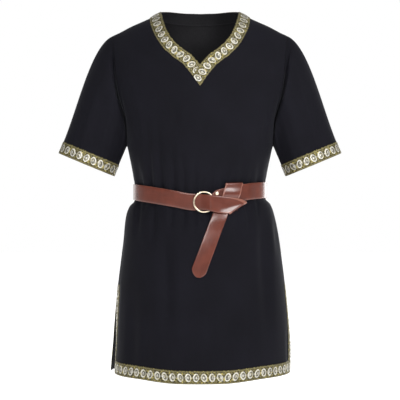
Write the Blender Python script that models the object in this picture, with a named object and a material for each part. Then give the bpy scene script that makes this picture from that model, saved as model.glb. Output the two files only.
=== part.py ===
"""Belted tunic with woven ribbon trim, worn form with no wearer.

Lengths are millimetres until a mesh is made. +X is the viewer's right, the front faces -Y, +Z is up.
The origin lies midway between the shoulders, at the height of the neck end of the shoulder seams.
"""
import math
from collections import namedtuple

import bpy
from mathutils import Vector

MM = 0.001
FRONT, BACK = -1, 1
LEFT, RIGHT = -1, 1

# Wall thicknesses and the gap kept where pieces meet
CLOTH = 1.5
RIBBON = 1.0
LEATHER = 2.5
GAP = 0.3

# Driving sizes
RIBBON_WIDTH = 30.0
FACING_DEPTH = 25.0
SHOULDER_ROUND = 110.0
ARMPIT = -319.0
SLIT_TOP = -650.0
HEM_RIBBON_TOP = -834.0
HEM = -864.0
BELT_WIDTH = 38.0
BELT_LEVEL = -430.0
QUARTER_TURN = math.pi / 2
SLIT_RIBBON_SHARE = 0.872

# Colour, roughness and metallic value of each finish
FINISHES = {
    "black_cloth": ((0.013, 0.013, 0.018, 1), 0.9, 0.0),
    "woven_ribbon": ((0.18, 0.155, 0.065, 1), 0.7, 0.0),
    "brown_leather": ((0.155, 0.048, 0.03, 1), 0.35, 0.0),
    "pale_brass": ((0.68, 0.52, 0.30, 1), 0.25, 1.0),
}

# Half width and depths of the tunic round the body, by level
Section = namedtuple("Section", "level half_width front back")
BODY = [
    Section(60, 235, 85, 82), Section(-50, 235, 90, 85), Section(-124, 233, 108, 105),
    Section(-200, 230.6, 122, 115), Section(-262, 205, 128, 114), Section(-319, 175, 130, 110),
    Section(-350, 168, 128, 104), Section(-380, 162, 123, 99), Section(-398, 159, 118, 97),
    Section(-409, 157, 115, 95), Section(-451, 157, 115, 95), Section(-463, 168, 119, 101),
    Section(-482, 176, 125, 110), Section(-508, 181.5, 130, 118), Section(-548, 187, 136, 126),
    Section(-600, 194, 140.5, 130), Section(-650, 200, 143.5, 133), Section(-710, 205, 146.5, 135.5),
    Section(-772, 209, 149, 137), Section(-834, 211.5, 150, 138), Section(-864, 212, 150, 138),
]

# Height of the shoulder line, by distance from the middle
Shoulder = namedtuple("Shoulder", "across height")
SHOULDER = [
    Shoulder(0, 60), Shoulder(30, 50), Shoulder(60, 28), Shoulder(80, 11), Shoulder(93, 1),
    Shoulder(106, -5), Shoulder(120, -14), Shoulder(140, -23), Shoulder(163, -33),
    Shoulder(193, -48.5), Shoulder(209, -56), Shoulder(221, -65), Shoulder(235, -82),
]

# Distance of the armhole seam from the middle, and how deep its crease is, by level
Armhole = namedtuple("Armhole", "level across crease")
ARMHOLE = [
    Armhole(-56, 209, 0), Armhole(-110, 203, 2), Armhole(-190, 197, 6), Armhole(-255, 187, 9),
    Armhole(-300, 178, 4), Armhole(-319, 175, 0),
]
CREASE_REACH = 40.0

# Front neck: where each row of the front meets the neck edge, the ribbon's outer edge and the armhole
NeckRow = namedtuple("NeckRow", "neck_x neck_z band_x band_z armhole_z")
FRONT_NECK = [
    NeckRow(0, -138, 0, -189, -214), NeckRow(10.5, -126, 16.5, -165, -194),
    NeckRow(21, -114, 39, -137, -168), NeckRow(38, -102, 59, -122, -148),
    NeckRow(55, -87, 77, -106, -128), NeckRow(68, -71, 91, -89.5, -110),
    NeckRow(77, -54, 102, -71, -94), NeckRow(83, -38, 110, -54, -81), NeckRow(87, -24, 115, -39, -71),
    NeckRow(89.5, -13, 117.5, -28, -63.5), NeckRow(91.5, -5, 119, -20, -59),
    NeckRow(93, 1, 120, -14, -56),
]
FRONT_CHEST_ROWS = [(-319, -319), (-290, -296), (-264, -274), (-238, -253), (-213, -233)]

# Back neck edge and the ribbon's outer edge on the back, from the middle to the shoulder
BackNeck = namedtuple("BackNeck", "neck_x neck_z band_x band_z")
BACK_NECK = [
    BackNeck(0, 10, 0, -23), BackNeck(18, 10, 20, -23), BackNeck(36, 9.5, 41, -22.5),
    BackNeck(53, 9, 62, -21.5), BackNeck(69, 8, 82, -20), BackNeck(82, 5.5, 100, -17.5),
    BackNeck(89, 3, 112, -15), BackNeck(93, 1, 120, -14),
]
BACK_RISE = [0.1, 0.2, 0.31, 0.42, 0.53, 0.64, 0.74, 0.82, 0.88, 0.93, 0.965, 0.987, 1.0]

# Levels of the rows below the armpit
WAIST_ROWS = [-319, -348, -377, -398, -409, -430, -451]
SKIRT_ROWS = [-463, -482, -508, -548, -600, -650, -710, -772, -834, -864]
LOWER_LEVELS = (WAIST_ROWS + SKIRT_ROWS)[::-1]

# Height of the belt's middle at the front, by distance from the middle, and how far rows follow it
BeltLine = namedtuple("BeltLine", "across height")
BELT_LINE = [
    BeltLine(-157, -430), BeltLine(-110, -437.5), BeltLine(-60, -446), BeltLine(-16, -453.5),
    BeltLine(9, -453.5), BeltLine(50, -441.5), BeltLine(100, -431), BeltLine(157, -425),
]
DipShare = namedtuple("DipShare", "level share")
DIP_SHARE = [
    DipShare(-319, 0), DipShare(-377, 0.6), DipShare(-409, 1), DipShare(-451, 1),
    DipShare(-508, 0.6), DipShare(-600, 0),
]

# Troughs in the cloth: a line from top to bottom, half width, depth, and where on the line it is deepest
Fold = namedtuple("Fold", "top_x top_z foot_x foot_z reach depth peak")
FRONT_FOLDS = [
    Fold(-150, -335, -141, -440, 11, 5.0, 0.75), Fold(-128, -215, -113, -446, 13, 6.0, 0.85),
    Fold(-100, -235, -87, -452, 12, 7.0, 0.85), Fold(-66, -290, -59, -456, 12, 6.5, 0.8),
    Fold(-42, -315, -34, -462, 11, 5.5, 0.75), Fold(-14, -325, -9, -462, 11, 4.0, 0.75),
    Fold(26, -335, 24, -460, 12, 3.5, 0.75), Fold(62, -325, 58, -455, 14, 4.0, 0.75),
    Fold(102, -300, 96, -448, 15, 4.5, 0.8), Fold(140, -340, 137, -440, 11, 4.5, 0.75),
    Fold(-141, -425, -150, -560, 12, 6.0, 0.35), Fold(-106, -430, -110, -580, 13, 7.0, 0.35),
    Fold(-82, -470, -70, -860, 27, 9.0, 0.4), Fold(-62, -440, -68, -530, 11, 5.0, 0.4),
    Fold(-35, -445, -40, -535, 12, 5.5, 0.4), Fold(-10, -450, -14, -540, 11, 4.0, 0.4),
    Fold(20, -450, 24, -530, 11, 4.0, 0.4), Fold(112, -425, 122, -570, 13, 6.0, 0.35),
    Fold(145, -430, 158, -850, 24, 8.0, 0.35), Fold(88, -440, 92, -560, 12, 4.0, 0.35),
    Fold(64, -600, 70, -862, 26, 4.0, 0.7), Fold(-150, -600, -160, -862, 22, 5.0, 0.7),
]
BACK_FOLDS = [
    Fold(-138, -325, -132, -440, 13, 5.0, 0.8), Fold(-104, -250, -98, -442, 15, 7.0, 0.85),
    Fold(-62, -300, -60, -442, 14, 6.0, 0.8), Fold(-24, -270, -22, -440, 14, 6.5, 0.85),
    Fold(16, -310, 18, -440, 13, 5.0, 0.8), Fold(54, -260, 56, -442, 15, 7.0, 0.85),
    Fold(96, -310, 94, -442, 14, 5.5, 0.8), Fold(132, -330, 128, -440, 12, 4.5, 0.8),
    Fold(-128, -420, -140, -600, 15, 7.0, 0.35), Fold(-90, -420, -100, -858, 26, 9.0, 0.35),
    Fold(-46, -420, -50, -570, 15, 6.0, 0.35), Fold(-4, -420, -6, -840, 25, 8.0, 0.35),
    Fold(40, -420, 44, -580, 15, 6.5, 0.35), Fold(80, -420, 92, -858, 26, 9.0, 0.35),
    Fold(124, -420, 138, -600, 15, 6.5, 0.35),
]

# How far the hem corners of the slits stand from the side seam's line: sideways and along Y
SlitCorner = namedtuple("SlitCorner", "sideways along")
SLIT_CORNERS = {
    (FRONT, LEFT): SlitCorner(-9, 7), (FRONT, RIGHT): SlitCorner(3, 3),
    (BACK, LEFT): SlitCorner(2, 7), (BACK, RIGHT): SlitCorner(2, 3),
}

# How far the skirt's sides sway to the right of the middle, by level, and how the hem lifts to them
Sway = namedtuple("Sway", "level shift")
SWAY = [Sway(-482, 0), Sway(-560, 3.4), Sway(-780, 3.6), Sway(-864, 0)]
HEM_LIFT = 5.5

# Sleeve: the mouth's lowest and highest corner, its half depth, and troughs along the sleeve
CUFF_LOW = Vector((206, 0, -392))
CUFF_HIGH = Vector((338.5, 0, -337))
CUFF_HALF_DEPTH = 52.0
SLEEVE_SEAM_GAP = 0.4
SleeveFold = namedtuple("SleeveFold", "round_top round_foot reach depth")
SLEEVE_FOLDS = [SleeveFold(0.13, 0.10, 0.07, 6.0), SleeveFold(0.30, 0.24, 0.08, 5.0),
                SleeveFold(0.66, 0.72, 0.08, 6.0), SleeveFold(0.85, 0.88, 0.06, 5.0)]
SLEEVE_ROWS = [0.12, 0.28, 0.46, 0.64, 0.82, 1.0]

# Belt layers, by how far the inner face stands off the waist
OFF_CLOTH = 0.6
OFF_TUCK = 0.9
OFF_OVER_TUCK = 3.8
OFF_TAIL = 6.7
OFF_CROSSING = 10.2
OFF_FLAP = 8.6
RING_OFF = 5.0
RING_CENTRE = (9.0, -453.5)
RING_RADIUS = 23.0
RING_WIRE = 2.0
RIVET = (37.0, -434.0)
RIVET_RADIUS = 3.8
RIVET_HEIGHT = 1.8


def read(rows, place, column):
    """Value of a column at a place along the table's first column, on a smooth line with no overshoot."""
    if rows[0][0] > rows[-1][0]:
        rows = rows[::-1]
    keys = [row[0] for row in rows]
    values = [getattr(row, column) for row in rows]
    place = min(max(place, keys[0]), keys[-1])
    low = max(i for i in range(len(keys) - 1) if keys[i] <= place or i == 0)
    rises = [(values[i + 1] - values[i]) / (keys[i + 1] - keys[i]) for i in range(len(keys) - 1)]

    def slope(i):
        if i == 0 or i == len(keys) - 1:
            return rises[min(i, len(rises) - 1)]
        before, after = rises[i - 1], rises[i]
        return 0.0 if before * after <= 0 else 2 * before * after / (before + after)

    step = keys[low + 1] - keys[low]
    t = (place - keys[low]) / step
    return ((2 * t ** 3 - 3 * t ** 2 + 1) * values[low] + (t ** 3 - 2 * t ** 2 + t) * step * slope(low)
            + (3 * t ** 2 - 2 * t ** 3) * values[low + 1] + (t ** 3 - t ** 2) * step * slope(low + 1))


def mix(a, b, t):
    return a + (b - a) * t


def smooth(t):
    t = min(max(t, 0.0), 1.0)
    return t * t * (3 - 2 * t)


def half_width(level):
    return read(BODY, level, "half_width")


def depth(face, level):
    return read(BODY, level, "front" if face == FRONT else "back")


def belt_height(face, x):
    """Height of the belt's middle line at a distance from the middle, front or back."""
    if face == FRONT:
        return read(BELT_LINE, x, "height")
    return mix(BELT_LINE[0].height, BELT_LINE[-1].height, (x + 157) / 314)


def cloth_point(face, half, angle, level):
    """Point of the unfolded tunic: angle 0 is the middle of the front or back, a quarter turn its side."""
    x = half * half_width(level) * math.sin(angle)
    dip = (belt_height(face, x) - BELT_LEVEL) * read(DIP_SHARE, level, "share")
    z = level + dip
    drop = min(max(read(SHOULDER, abs(x), "height") - z, 0.0) / SHOULDER_ROUND, 1.0)
    rounding = math.sqrt(1 - (1 - drop) ** 2)
    y = face * max(depth(face, level) * math.cos(angle) * rounding, GAP / 2)
    return Vector((x, y, z))


def fold_depth(folds, x, z):
    """How far the cloth lies inside its unfolded form at a place seen from the front."""
    total = 0.0
    for fold in folds:
        along = (z - fold.top_z) / (fold.foot_z - fold.top_z)
        if not 0 < along < 1:
            continue
        across = abs(x - mix(fold.top_x, fold.foot_x, along)) / fold.reach
        if across < 1:
            fade = smooth(along / fold.peak) if along < fold.peak else smooth((1 - along) / (1 - fold.peak))
            total += fold.depth * fade * math.cos(math.pi / 2 * across) ** 2
    return total


class Cloth:
    """A sheet as points and triangles, with the triangles of each region kept by name."""

    def __init__(self):
        self.points = []
        self.normals = []
        self.regions = {}

    def add(self, point):
        self.points.append(point)
        return len(self.points) - 1

    def triangle(self, corners, region, turned=False):
        self.regions.setdefault(region, []).append(tuple(reversed(corners)) if turned else tuple(corners))

    def quad(self, a, b, c, d, region, turned=False):
        """Two triangles across the shorter diagonal."""
        p = self.points
        if (p[a] - p[c]).length <= (p[b] - p[d]).length:
            self.triangle((a, b, c), region, turned)
            self.triangle((a, c, d), region, turned)
        else:
            self.triangle((a, b, d), region, turned)
            self.triangle((b, c, d), region, turned)

    def faces(self, *names):
        return [face for name in (names or self.regions) for face in self.regions[name]]

    def find_normals(self, seam_points=()):
        self.normals = [Vector() for _ in self.points]
        for a, b, c in self.faces():
            flat = (self.points[b] - self.points[a]).cross(self.points[c] - self.points[a])
            for corner in (a, b, c):
                self.normals[corner] += flat
        for index in seam_points:
            self.normals[index].y = 0
        self.normals = [normal.normalized() for normal in self.normals]


def finish(name, mesh, finish_name):
    """Put a mesh in the scene as one named piece with its own material."""
    colour, roughness, metallic = FINISHES[finish_name]
    material = bpy.data.materials.new(name + "_" + finish_name)
    material.use_nodes = True
    shader = material.node_tree.nodes["Principled BSDF"]
    shader.inputs["Base Color"].default_value = colour
    shader.inputs["Roughness"].default_value = roughness
    shader.inputs["Metallic"].default_value = metallic
    mesh.materials.append(material)
    mesh.shade_smooth()
    mesh.set_sharp_from_angle(angle=math.radians(40))
    piece = bpy.data.objects.new(name, mesh)
    bpy.context.scene.collection.objects.link(piece)
    return piece


def wall(name, outer, inner, faces, finish_name):
    """A closed wall between matching outer and inner points, rimmed along its free edges."""
    used = sorted({corner for face in faces for corner in face})
    place = {corner: i for i, corner in enumerate(used)}
    count = len(used)
    loops = [tuple(place[corner] for corner in face) for face in faces]
    edges = {(loop[i], loop[(i + 1) % len(loop)]) for loop in loops for i in range(len(loop))}
    rims = [(b, a, a + count, b + count) for a, b in sorted(edges) if (b, a) not in edges]
    backs = [tuple(corner + count for corner in reversed(loop)) for loop in loops]
    points = [outer[i] * MM for i in used] + [inner[i] * MM for i in used]
    mesh = bpy.data.meshes.new(name)
    mesh.from_pydata(points, [], loops + backs + rims)
    mesh.validate()
    return finish(name, mesh, finish_name)


def cloth_wall(name, cloth, finish_name="black_cloth", inner_vectors=None):
    vectors = inner_vectors or [-normal * CLOTH for normal in cloth.normals]
    inner = [point + vector for point, vector in zip(cloth.points, vectors)]
    return wall(name, cloth.points, inner, cloth.faces(), finish_name)


def ribbon(name, cloth, faces, pulls=()):
    """Ribbon on a cloth's outer side, made from the cloth's own points moved out.

    pulls holds pairs of points: the first is drawn a gap's width towards the second, clear of the
    next ribbon.
    """
    low = [point + normal * GAP for point, normal in zip(cloth.points, cloth.normals)]
    high = [point + normal * (GAP + RIBBON) for point, normal in zip(cloth.points, cloth.normals)]
    for moved, towards in pulls:
        step = (cloth.points[towards] - cloth.points[moved]).normalized() * GAP * 1.3
        low[moved] = low[moved] + step
        high[moved] = high[moved] + step
    return wall(name, high, low, faces, "woven_ribbon")


def column_shares(count):
    """Shares of the quarter turn from the middle to the side, the last two across the slit's ribbon."""
    shares = [SLIT_RIBBON_SHARE * (0.85 * k / (count - 2) + 0.15 * (k / (count - 2)) ** 2)
              for k in range(count - 1)]
    return shares + [(SLIT_RIBBON_SHARE + 1) / 2, 1.0]


def slit_spread(face, half, share, point):
    """Sway the skirt's sides, lift the hem to them and move a slit's edge off the side seam's line."""
    point = point + Vector((read(SWAY, point.z, "shift") * smooth(share / 0.5), 0, 0))
    if point.z >= SLIT_TOP:
        return point
    corner = SLIT_CORNERS[face, half]
    low = smooth((SLIT_TOP - point.z) / (SLIT_TOP - HEM))
    amount = low * smooth((share - 0.55) / 0.45)
    lift = HEM_LIFT * low * smooth((share - 0.15) / 0.35)
    return point + Vector((half * corner.sideways * amount, face * corner.along * amount, lift))


def lower_rows(cloth, face, half, count, middle):
    """Rows of point numbers from the hem to the armpit, sharing the middle points of the other half."""
    rows = []
    for number, level in enumerate(LOWER_LEVELS):
        row = []
        for k, share in enumerate(column_shares(count)):
            if k == 0 and half == RIGHT:
                row.append(middle[number])
                continue
            point = cloth_point(face, half, QUARTER_TURN * share, level)
            row.append(cloth.add(slit_spread(face, half, share, point)))
            if k == 0:
                middle.append(row[0])
        rows.append(row)
    return rows


def join_rows(cloth, low, high, turned, region, edge_region=None):
    """Quads between two rows of equal length; the last two cells may be a region of their own."""
    for k in range(len(low) - 1):
        name = edge_region if edge_region and k >= len(low) - 3 else region
        cloth.quad(low[k], low[k + 1], high[k + 1], high[k], name, turned)


def halve_rows(cloth, low, high, turned, region):
    """Three triangles for every two cells of the lower row, so the upper row has half as many."""
    for k in range(len(high) - 1):
        a, m, b = low[2 * k], low[2 * k + 1], low[2 * k + 2]
        cloth.triangle((a, m, high[k]), region, turned)
        cloth.triangle((m, b, high[k + 1]), region, turned)
        cloth.triangle((m, high[k + 1], high[k]), region, turned)


def join_lower(cloth, rows, half, turned):
    """Cells from the hem to the armpit, with regions for the hem's ribbon and the slit's ribbon."""
    for number in range(len(rows) - 1):
        level = LOWER_LEVELS[number + 1]
        region = "hem" if level <= HEM_RIBBON_TOP else "cloth"
        slit = "slit_%d" % half if level <= SLIT_TOP and region == "cloth" else None
        join_rows(cloth, rows[number], rows[number + 1], turned, region, slit)


def apply_folds(cloth, folds, face, armhole_points, fixed):
    """Push the cloth in along its folds and along the armhole creases."""
    cloth.find_normals(fixed)
    moved = []
    edge = [cloth.points[i] for i in armhole_points]
    still = set(fixed)
    for index, (point, normal) in enumerate(zip(cloth.points, cloth.normals)):
        if index in still:
            moved.append(point)
            continue
        side = abs(point.y) / max(depth(face, point.z), 1)
        inward = fold_depth(folds, point.x, point.z) * smooth(side / 0.3)
        near = min(edge, key=lambda place: (place - point).length)
        distance = (near - point).length
        if distance < CREASE_REACH:
            inward += read(ARMHOLE, near.z, "crease") * math.cos(QUARTER_TURN * distance / CREASE_REACH) ** 2
        moved.append(point - normal * inward)
    cloth.points = moved
    cloth.find_normals(fixed)


def band_point(face, half, x, z):
    """Point of the unfolded tunic at a place seen from the front, above the armpit."""
    angle = math.asin(min(abs(x) / half_width(z), 1.0))
    return cloth_point(face, half, angle, z)


def shoulder_row(face, half, inner, outer, count):
    """Row of points from the neck band's edge to the armhole, following the shoulder line near the top."""
    (inner_x, inner_z), (outer_x, outer_z) = inner, outer
    inner_top, outer_top = (read(SHOULDER, x, "height") for x in (inner_x, outer_x))
    closeness = 1 - min((inner_top - inner_z + outer_top - outer_z) / 2 / SHOULDER_ROUND, 1.0)
    inner_angle = math.asin(inner_x / half_width(inner_z))
    outer_angle = math.asin(min(outer_x / half_width(outer_z), 1.0))
    points = []
    for k in range(count + 1):
        t = k / count
        z = mix(inner_z, outer_z, t)
        angle = mix(inner_angle, outer_angle, t)
        x = half_width(z) * math.sin(angle)
        z += (read(SHOULDER, x, "height") - mix(inner_top, outer_top, t)) * closeness
        points.append(cloth_point(face, half, math.asin(min(x / half_width(z), 1.0)), z))
    return points


def build_front():
    """The front panel, with the V-neck's band as cells of its own."""
    cloth, count = Cloth(), 20
    middle, chest_middle = [], []
    edges = {"armhole": {}, "fixed": [], "band": {}, "slit": {}}
    for half in (LEFT, RIGHT):
        turned = half == LEFT
        rows = lower_rows(cloth, FRONT, half, count, middle)
        join_lower(cloth, rows, half, turned)
        edges["fixed"] += [row[-1] for row in rows]
        edges["slit"][half] = rows
        armhole = [rows[-1][-1]]
        previous = rows[-1]
        chest = [((0, inner), outer) for inner, outer in FRONT_CHEST_ROWS[1:]]
        chest += [((row.band_x, row.band_z), row.armhole_z) for row in FRONT_NECK]
        tip = len(FRONT_CHEST_ROWS) - 1
        upper = []
        for number, (inner, outer_z) in enumerate(chest):
            outer = (read(ARMHOLE, outer_z, "across"), outer_z)
            points = shoulder_row(FRONT, half, inner, outer, count // 2)
            shared = number <= tip and half == RIGHT
            row = [chest_middle[number] if shared else cloth.add(points[0])]
            if number <= tip and half == LEFT:
                chest_middle.append(row[0])
            row += [cloth.add(point) for point in points[1:]]
            if number == 0:
                halve_rows(cloth, previous, row, turned, "cloth")
            else:
                join_rows(cloth, previous, row, turned, "cloth")
            armhole.append(row[-1])
            upper.append(row)
            previous = row
        edges["fixed"] += upper[-1]
        edges["armhole"][half] = armhole
        band = []
        for number, row in enumerate(FRONT_NECK):
            outer = upper[tip + number][0]
            if number == 0 and half == RIGHT:
                band.append(edges["band"][LEFT][0])
                continue
            neck = cloth.add(band_point(FRONT, half, row.neck_x, row.neck_z))
            last = number == len(FRONT_NECK) - 1
            centre_x, centre_z = mix(row.neck_x, row.band_x, 0.5), mix(row.neck_z, row.band_z, 0.5)
            if last:
                centre_z = read(SHOULDER, centre_x, "height")
            centre = cloth.add(band_point(FRONT, half, centre_x, centre_z))
            band.append((neck, centre, outer))
            if last:
                edges["fixed"] += [neck, centre]
        edges["band"][half] = band
        name = "band_%d" % half
        for low, high in zip(band, band[1:]):
            if low is band[0] and half == LEFT:
                (v_point, v_centre, v_tip), (neck, centre, corner) = low, high
                cloth.triangle((v_tip, corner, v_centre), "band_1", True)
                cloth.triangle((v_centre, corner, v_point), "band_1", True)
                cloth.triangle((v_point, corner, centre), name, True)
                cloth.triangle((v_point, centre, neck), name, True)
                continue
            cloth.quad(low[0], low[1], high[1], high[0], name, turned)
            cloth.quad(low[1], low[2], high[2], high[1], name, turned)
    armhole_points = [i for half in (LEFT, RIGHT) for i in edges["armhole"][half]]
    apply_folds(cloth, FRONT_FOLDS, FRONT, armhole_points, edges["fixed"])
    return cloth, edges


def build_back():
    """The back panel, with the neck band along its top."""
    cloth, count = Cloth(), 14
    middle, upper_middle, neck_middle = [], [], []
    edges = {"armhole": {}, "fixed": [], "band": {}, "slit": {}}
    band_columns = len(BACK_NECK)
    top = [(row.band_x, row.band_z) for row in BACK_NECK]
    for k in range(1, count - band_columns + 2):
        x = mix(BACK_NECK[-1].band_x, ARMHOLE[0].across, k / (count - band_columns + 1))
        top.append((x, read(SHOULDER, x, "height")))
    for half in (LEFT, RIGHT):
        turned = half == RIGHT
        rows = lower_rows(cloth, BACK, half, count, middle)
        join_lower(cloth, rows, half, turned)
        edges["fixed"] += [row[-1] for row in rows]
        edges["slit"][half] = rows
        armhole = [rows[-1][-1]]
        previous = rows[-1]
        base = [abs(cloth.points[i].x) for i in rows[-1]]
        for number, rise in enumerate(BACK_RISE):
            outer_z = mix(ARMPIT, top[-1][1], rise)
            outer_x = read(ARMHOLE, outer_z, "across")
            scale = outer_x / mix(base[-1], top[-1][0], rise)
            row = []
            for k, (top_x, top_z) in enumerate(top):
                if k == 0 and half == RIGHT:
                    row.append(upper_middle[number])
                    continue
                x = mix(base[k], top_x, rise) * (mix(scale, 1.0, rise) if k else 1.0)
                x = min(x, outer_x)
                z = mix(ARMPIT, top_z, rise)
                row.append(cloth.add(band_point(BACK, half, x, z)))
                if k == 0:
                    upper_middle.append(row[0])
            join_rows(cloth, previous, row, turned, "cloth")
            armhole.append(row[-1])
            previous = row
        edges["armhole"][half] = armhole
        edges["fixed"] += previous[band_columns - 1:]
        band = []
        for k, row in enumerate(BACK_NECK):
            outer = previous[k]
            if k == 0 and half == RIGHT:
                band.append(neck_middle[0])
                continue
            neck = cloth.add(band_point(BACK, half, row.neck_x, row.neck_z))
            share = FACING_DEPTH / RIBBON_WIDTH
            centre_x, centre_z = mix(row.neck_x, row.band_x, share), mix(row.neck_z, row.band_z, share)
            if k == band_columns - 1:
                centre_z = read(SHOULDER, centre_x, "height")
            centre = cloth.add(band_point(BACK, half, centre_x, centre_z))
            band.append((neck, centre, outer))
            if k == 0:
                neck_middle.append(band[0])
            if k == band_columns - 1:
                edges["fixed"] += [neck, centre]
        edges["band"][half] = band
        for near, far in zip(band, band[1:]):
            cloth.quad(near[2], far[2], far[1], near[1], "band_low", turned)
            cloth.quad(near[1], far[1], far[0], near[0], "band_high", turned)
    armhole_points = [i for half in (LEFT, RIGHT) for i in edges["armhole"][half]]
    apply_folds(cloth, BACK_FOLDS, BACK, armhole_points, edges["fixed"])
    return cloth, edges


def build_sleeve(half, front, front_edges, back, back_edges):
    """A sleeve as a tube from the armhole's own points to the cuff's mouth."""
    front_line = [front.points[i] for i in front_edges["armhole"][half]]
    back_line = [back.points[i] for i in back_edges["armhole"][half]]
    front_inward = [-front.normals[i] for i in front_edges["armhole"][half]]
    back_inward = [-back.normals[i] for i in back_edges["armhole"][half]]
    low, high = front_line[0].copy(), front_line[-1].copy()
    low.y = high.y = 0
    ring = [low] + front_line[1:-1] + [high] + back_line[-2:0:-1]
    inward = front_inward + back_inward[-2:0:-1]
    turns = [share / 2 for share in length_shares(front_line)]
    turns += [1 - share / 2 for share in length_shares(back_line)[-2:0:-1]]
    middle = (CUFF_LOW + CUFF_HIGH) / 2
    reach = (CUFF_HIGH - CUFF_LOW) / 2
    axis = Vector((reach.z, 0, -reach.x)).normalized()
    cloth = Cloth()
    rings = [[cloth.add(point + Vector((half * SLEEVE_SEAM_GAP, 0, 0))) for point in ring]]
    for row in SLEEVE_ROWS + [None]:
        numbers = []
        for start, turn in zip(ring, turns):
            round_angle = 2 * math.pi * turn
            mouth = middle - reach * math.cos(round_angle)
            mouth = mouth + Vector((0, -CUFF_HALF_DEPTH * math.sin(round_angle), 0))
            if row is None:
                point = mouth
            else:
                side = Vector((start.x * half, start.y, start.z))
                end = mouth - axis * RIBBON_WIDTH
                point = sleeve_curve(side, end, axis, round_angle, row)
                fade = math.sin(math.pi * 0.75 * min(row, 0.9))
                point.y += math.copysign(sleeve_trough(turn, row) * fade, math.sin(round_angle))
            numbers.append(cloth.add(Vector((point.x * half, point.y, point.z))))
        rings.append(numbers)
    count = len(ring)
    for number, (near, far) in enumerate(zip(rings, rings[1:])):
        region = "cuff" if number == len(rings) - 2 else "cloth"
        for k in range(count):
            after = (k + 1) % count
            cloth.quad(near[k], far[k], far[after], near[after], region, half == LEFT)
    cloth.find_normals()
    vectors = [-normal * CLOTH for normal in cloth.normals]
    for k in range(count):
        if half * vectors[k].x < half * inward[k].x * CLOTH:
            vectors[k] = inward[k] * CLOTH
    return cloth, vectors


def length_shares(line):
    """Share of a line's length at each of its points."""
    lengths = [0.0]
    for a, b in zip(line, line[1:]):
        lengths.append(lengths[-1] + (b - a).length)
    return [length / lengths[-1] for length in lengths]


def sleeve_curve(start, end, axis, round_angle, t):
    """Point on the smooth line from an armhole point to the cuff."""
    length = (end - start).length
    rise = (1 - math.cos(round_angle)) / 2
    leave = Vector((mix(0.39, 0.92, rise), -0.45 * math.sin(round_angle), mix(-0.92, -0.39, rise)))
    leave = leave.normalized() * length * 0.6
    arrive = axis * length
    return (start * (2 * t ** 3 - 3 * t ** 2 + 1) + leave * (t ** 3 - 2 * t ** 2 + t)
            + end * (3 * t ** 2 - 2 * t ** 3) + arrive * (t ** 3 - t ** 2))


def sleeve_trough(turn, t):
    total = 0.0
    for fold in SLEEVE_FOLDS:
        across = abs(turn - mix(fold.round_top, fold.round_foot, t)) / fold.reach
        if across < 1:
            total += fold.depth * math.cos(QUARTER_TURN * across) ** 2
    return total


def waist_frame(x, z):
    """Level, angle, outward direction and sideways direction of the front cloth seen at a place."""
    share = 1.0
    level = z
    for _ in range(6):
        share = read(DIP_SHARE, level, "share")
        level = z - (belt_height(FRONT, x) - BELT_LEVEL) * share
    width = half_width(level)
    angle = math.asin(min(max(x / width, -1), 1))
    out = Vector((math.sin(angle) / width, -math.cos(angle) / depth(FRONT, level), 0)).normalized()
    return level, angle, out, Vector((-out.y, out.x, 0))


def on_waist(x, z, off):
    """Point in front of the unfolded cloth, its outward direction and its sideways direction."""
    level, angle, out, aside = waist_frame(x, z)
    point = Vector((x, -depth(FRONT, level) * math.cos(angle), z))
    return point + out * off, out, aside


def bulge(x, z):
    """How far the cloth at a place stands out past the waist that the belt draws in."""
    level, angle, out, _ = waist_frame(x, z)
    waist = Vector((half_width(BELT_LEVEL) * math.sin(angle),
                    -depth(FRONT, BELT_LEVEL) * math.cos(angle), 0))
    here = Vector((half_width(level) * math.sin(angle), -depth(FRONT, level) * math.cos(angle), 0))
    return max((here - waist).dot(out), 0.0)


def strap(name, sections, finish_name="brown_leather"):
    """A strap as a wall through sections, each a list of middle points with half-thickness vectors."""
    across = len(sections[0])
    outer = [middle + half for section in sections for middle, half in section]
    inner = [middle - half for section in sections for middle, half in section]
    faces = []
    for s in range(len(sections) - 1):
        for k in range(across - 1):
            a = s * across + k
            faces.append((a, a + across, a + across + 1, a + 1))
    flat = (outer[faces[0][1]] - outer[faces[0][0]]).cross(outer[faces[0][2]] - outer[faces[0][0]])
    if flat.dot(sections[0][0][1]) < 0:
        faces = [tuple(reversed(face)) for face in faces]
    split = [tri for a, b, c, d in faces for tri in ((a, b, c), (a, c, d))]
    return wall(name, outer, inner, split, finish_name)


def laid_section(ends, off_at, cells, turned=1):
    """Section between two places (x, z), its inner face at the offset that off_at gives.

    turned is -1 where the strap shows its other side, behind a fold.
    """
    (x0, z0), (x1, z1) = ends
    section = []
    for k in range(cells + 1):
        x, z = mix(x0, x1, k / cells), mix(z0, z1, k / cells)
        point, out, _ = on_waist(x, z, off_at(x, z) + LEATHER / 2)
        section.append((point, out * turned * LEATHER / 2))
    return section


def turned_sections(ends, off_at, low, push, cells, steps):
    """Sections round a fold line: from the front layer's offset to the back layer's, pushed out past it."""
    (x0, z0), (x1, z1) = ends
    sections = []
    for s in range(steps + 1):
        angle = math.pi * s / steps
        section = []
        for k in range(cells + 1):
            x, z = mix(x0, x1, k / cells), mix(z0, z1, k / cells)
            high = off_at(x, z)
            radius = (high - low) / 2
            point, out, aside = on_waist(x, z, (high + low) / 2 + LEATHER / 2)
            side = aside * push[0] + Vector((0, 0, push[1]))
            point = point + out * radius * math.cos(angle) + side * radius * math.sin(angle)
            section.append((point, (out * math.cos(angle) + side * math.sin(angle)) * LEATHER / 2))
        sections.append(section)
    return sections


Lift = namedtuple("Lift", "across off")
STRAP_LIFT = [Lift(35, OFF_CLOTH), Lift(52, OFF_OVER_TUCK), Lift(106, OFF_OVER_TUCK),
              Lift(128, OFF_CLOTH)]
STRAP_START = -14.0
STRAP_END = 35.0
STRAP_STEPS = 68


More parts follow.
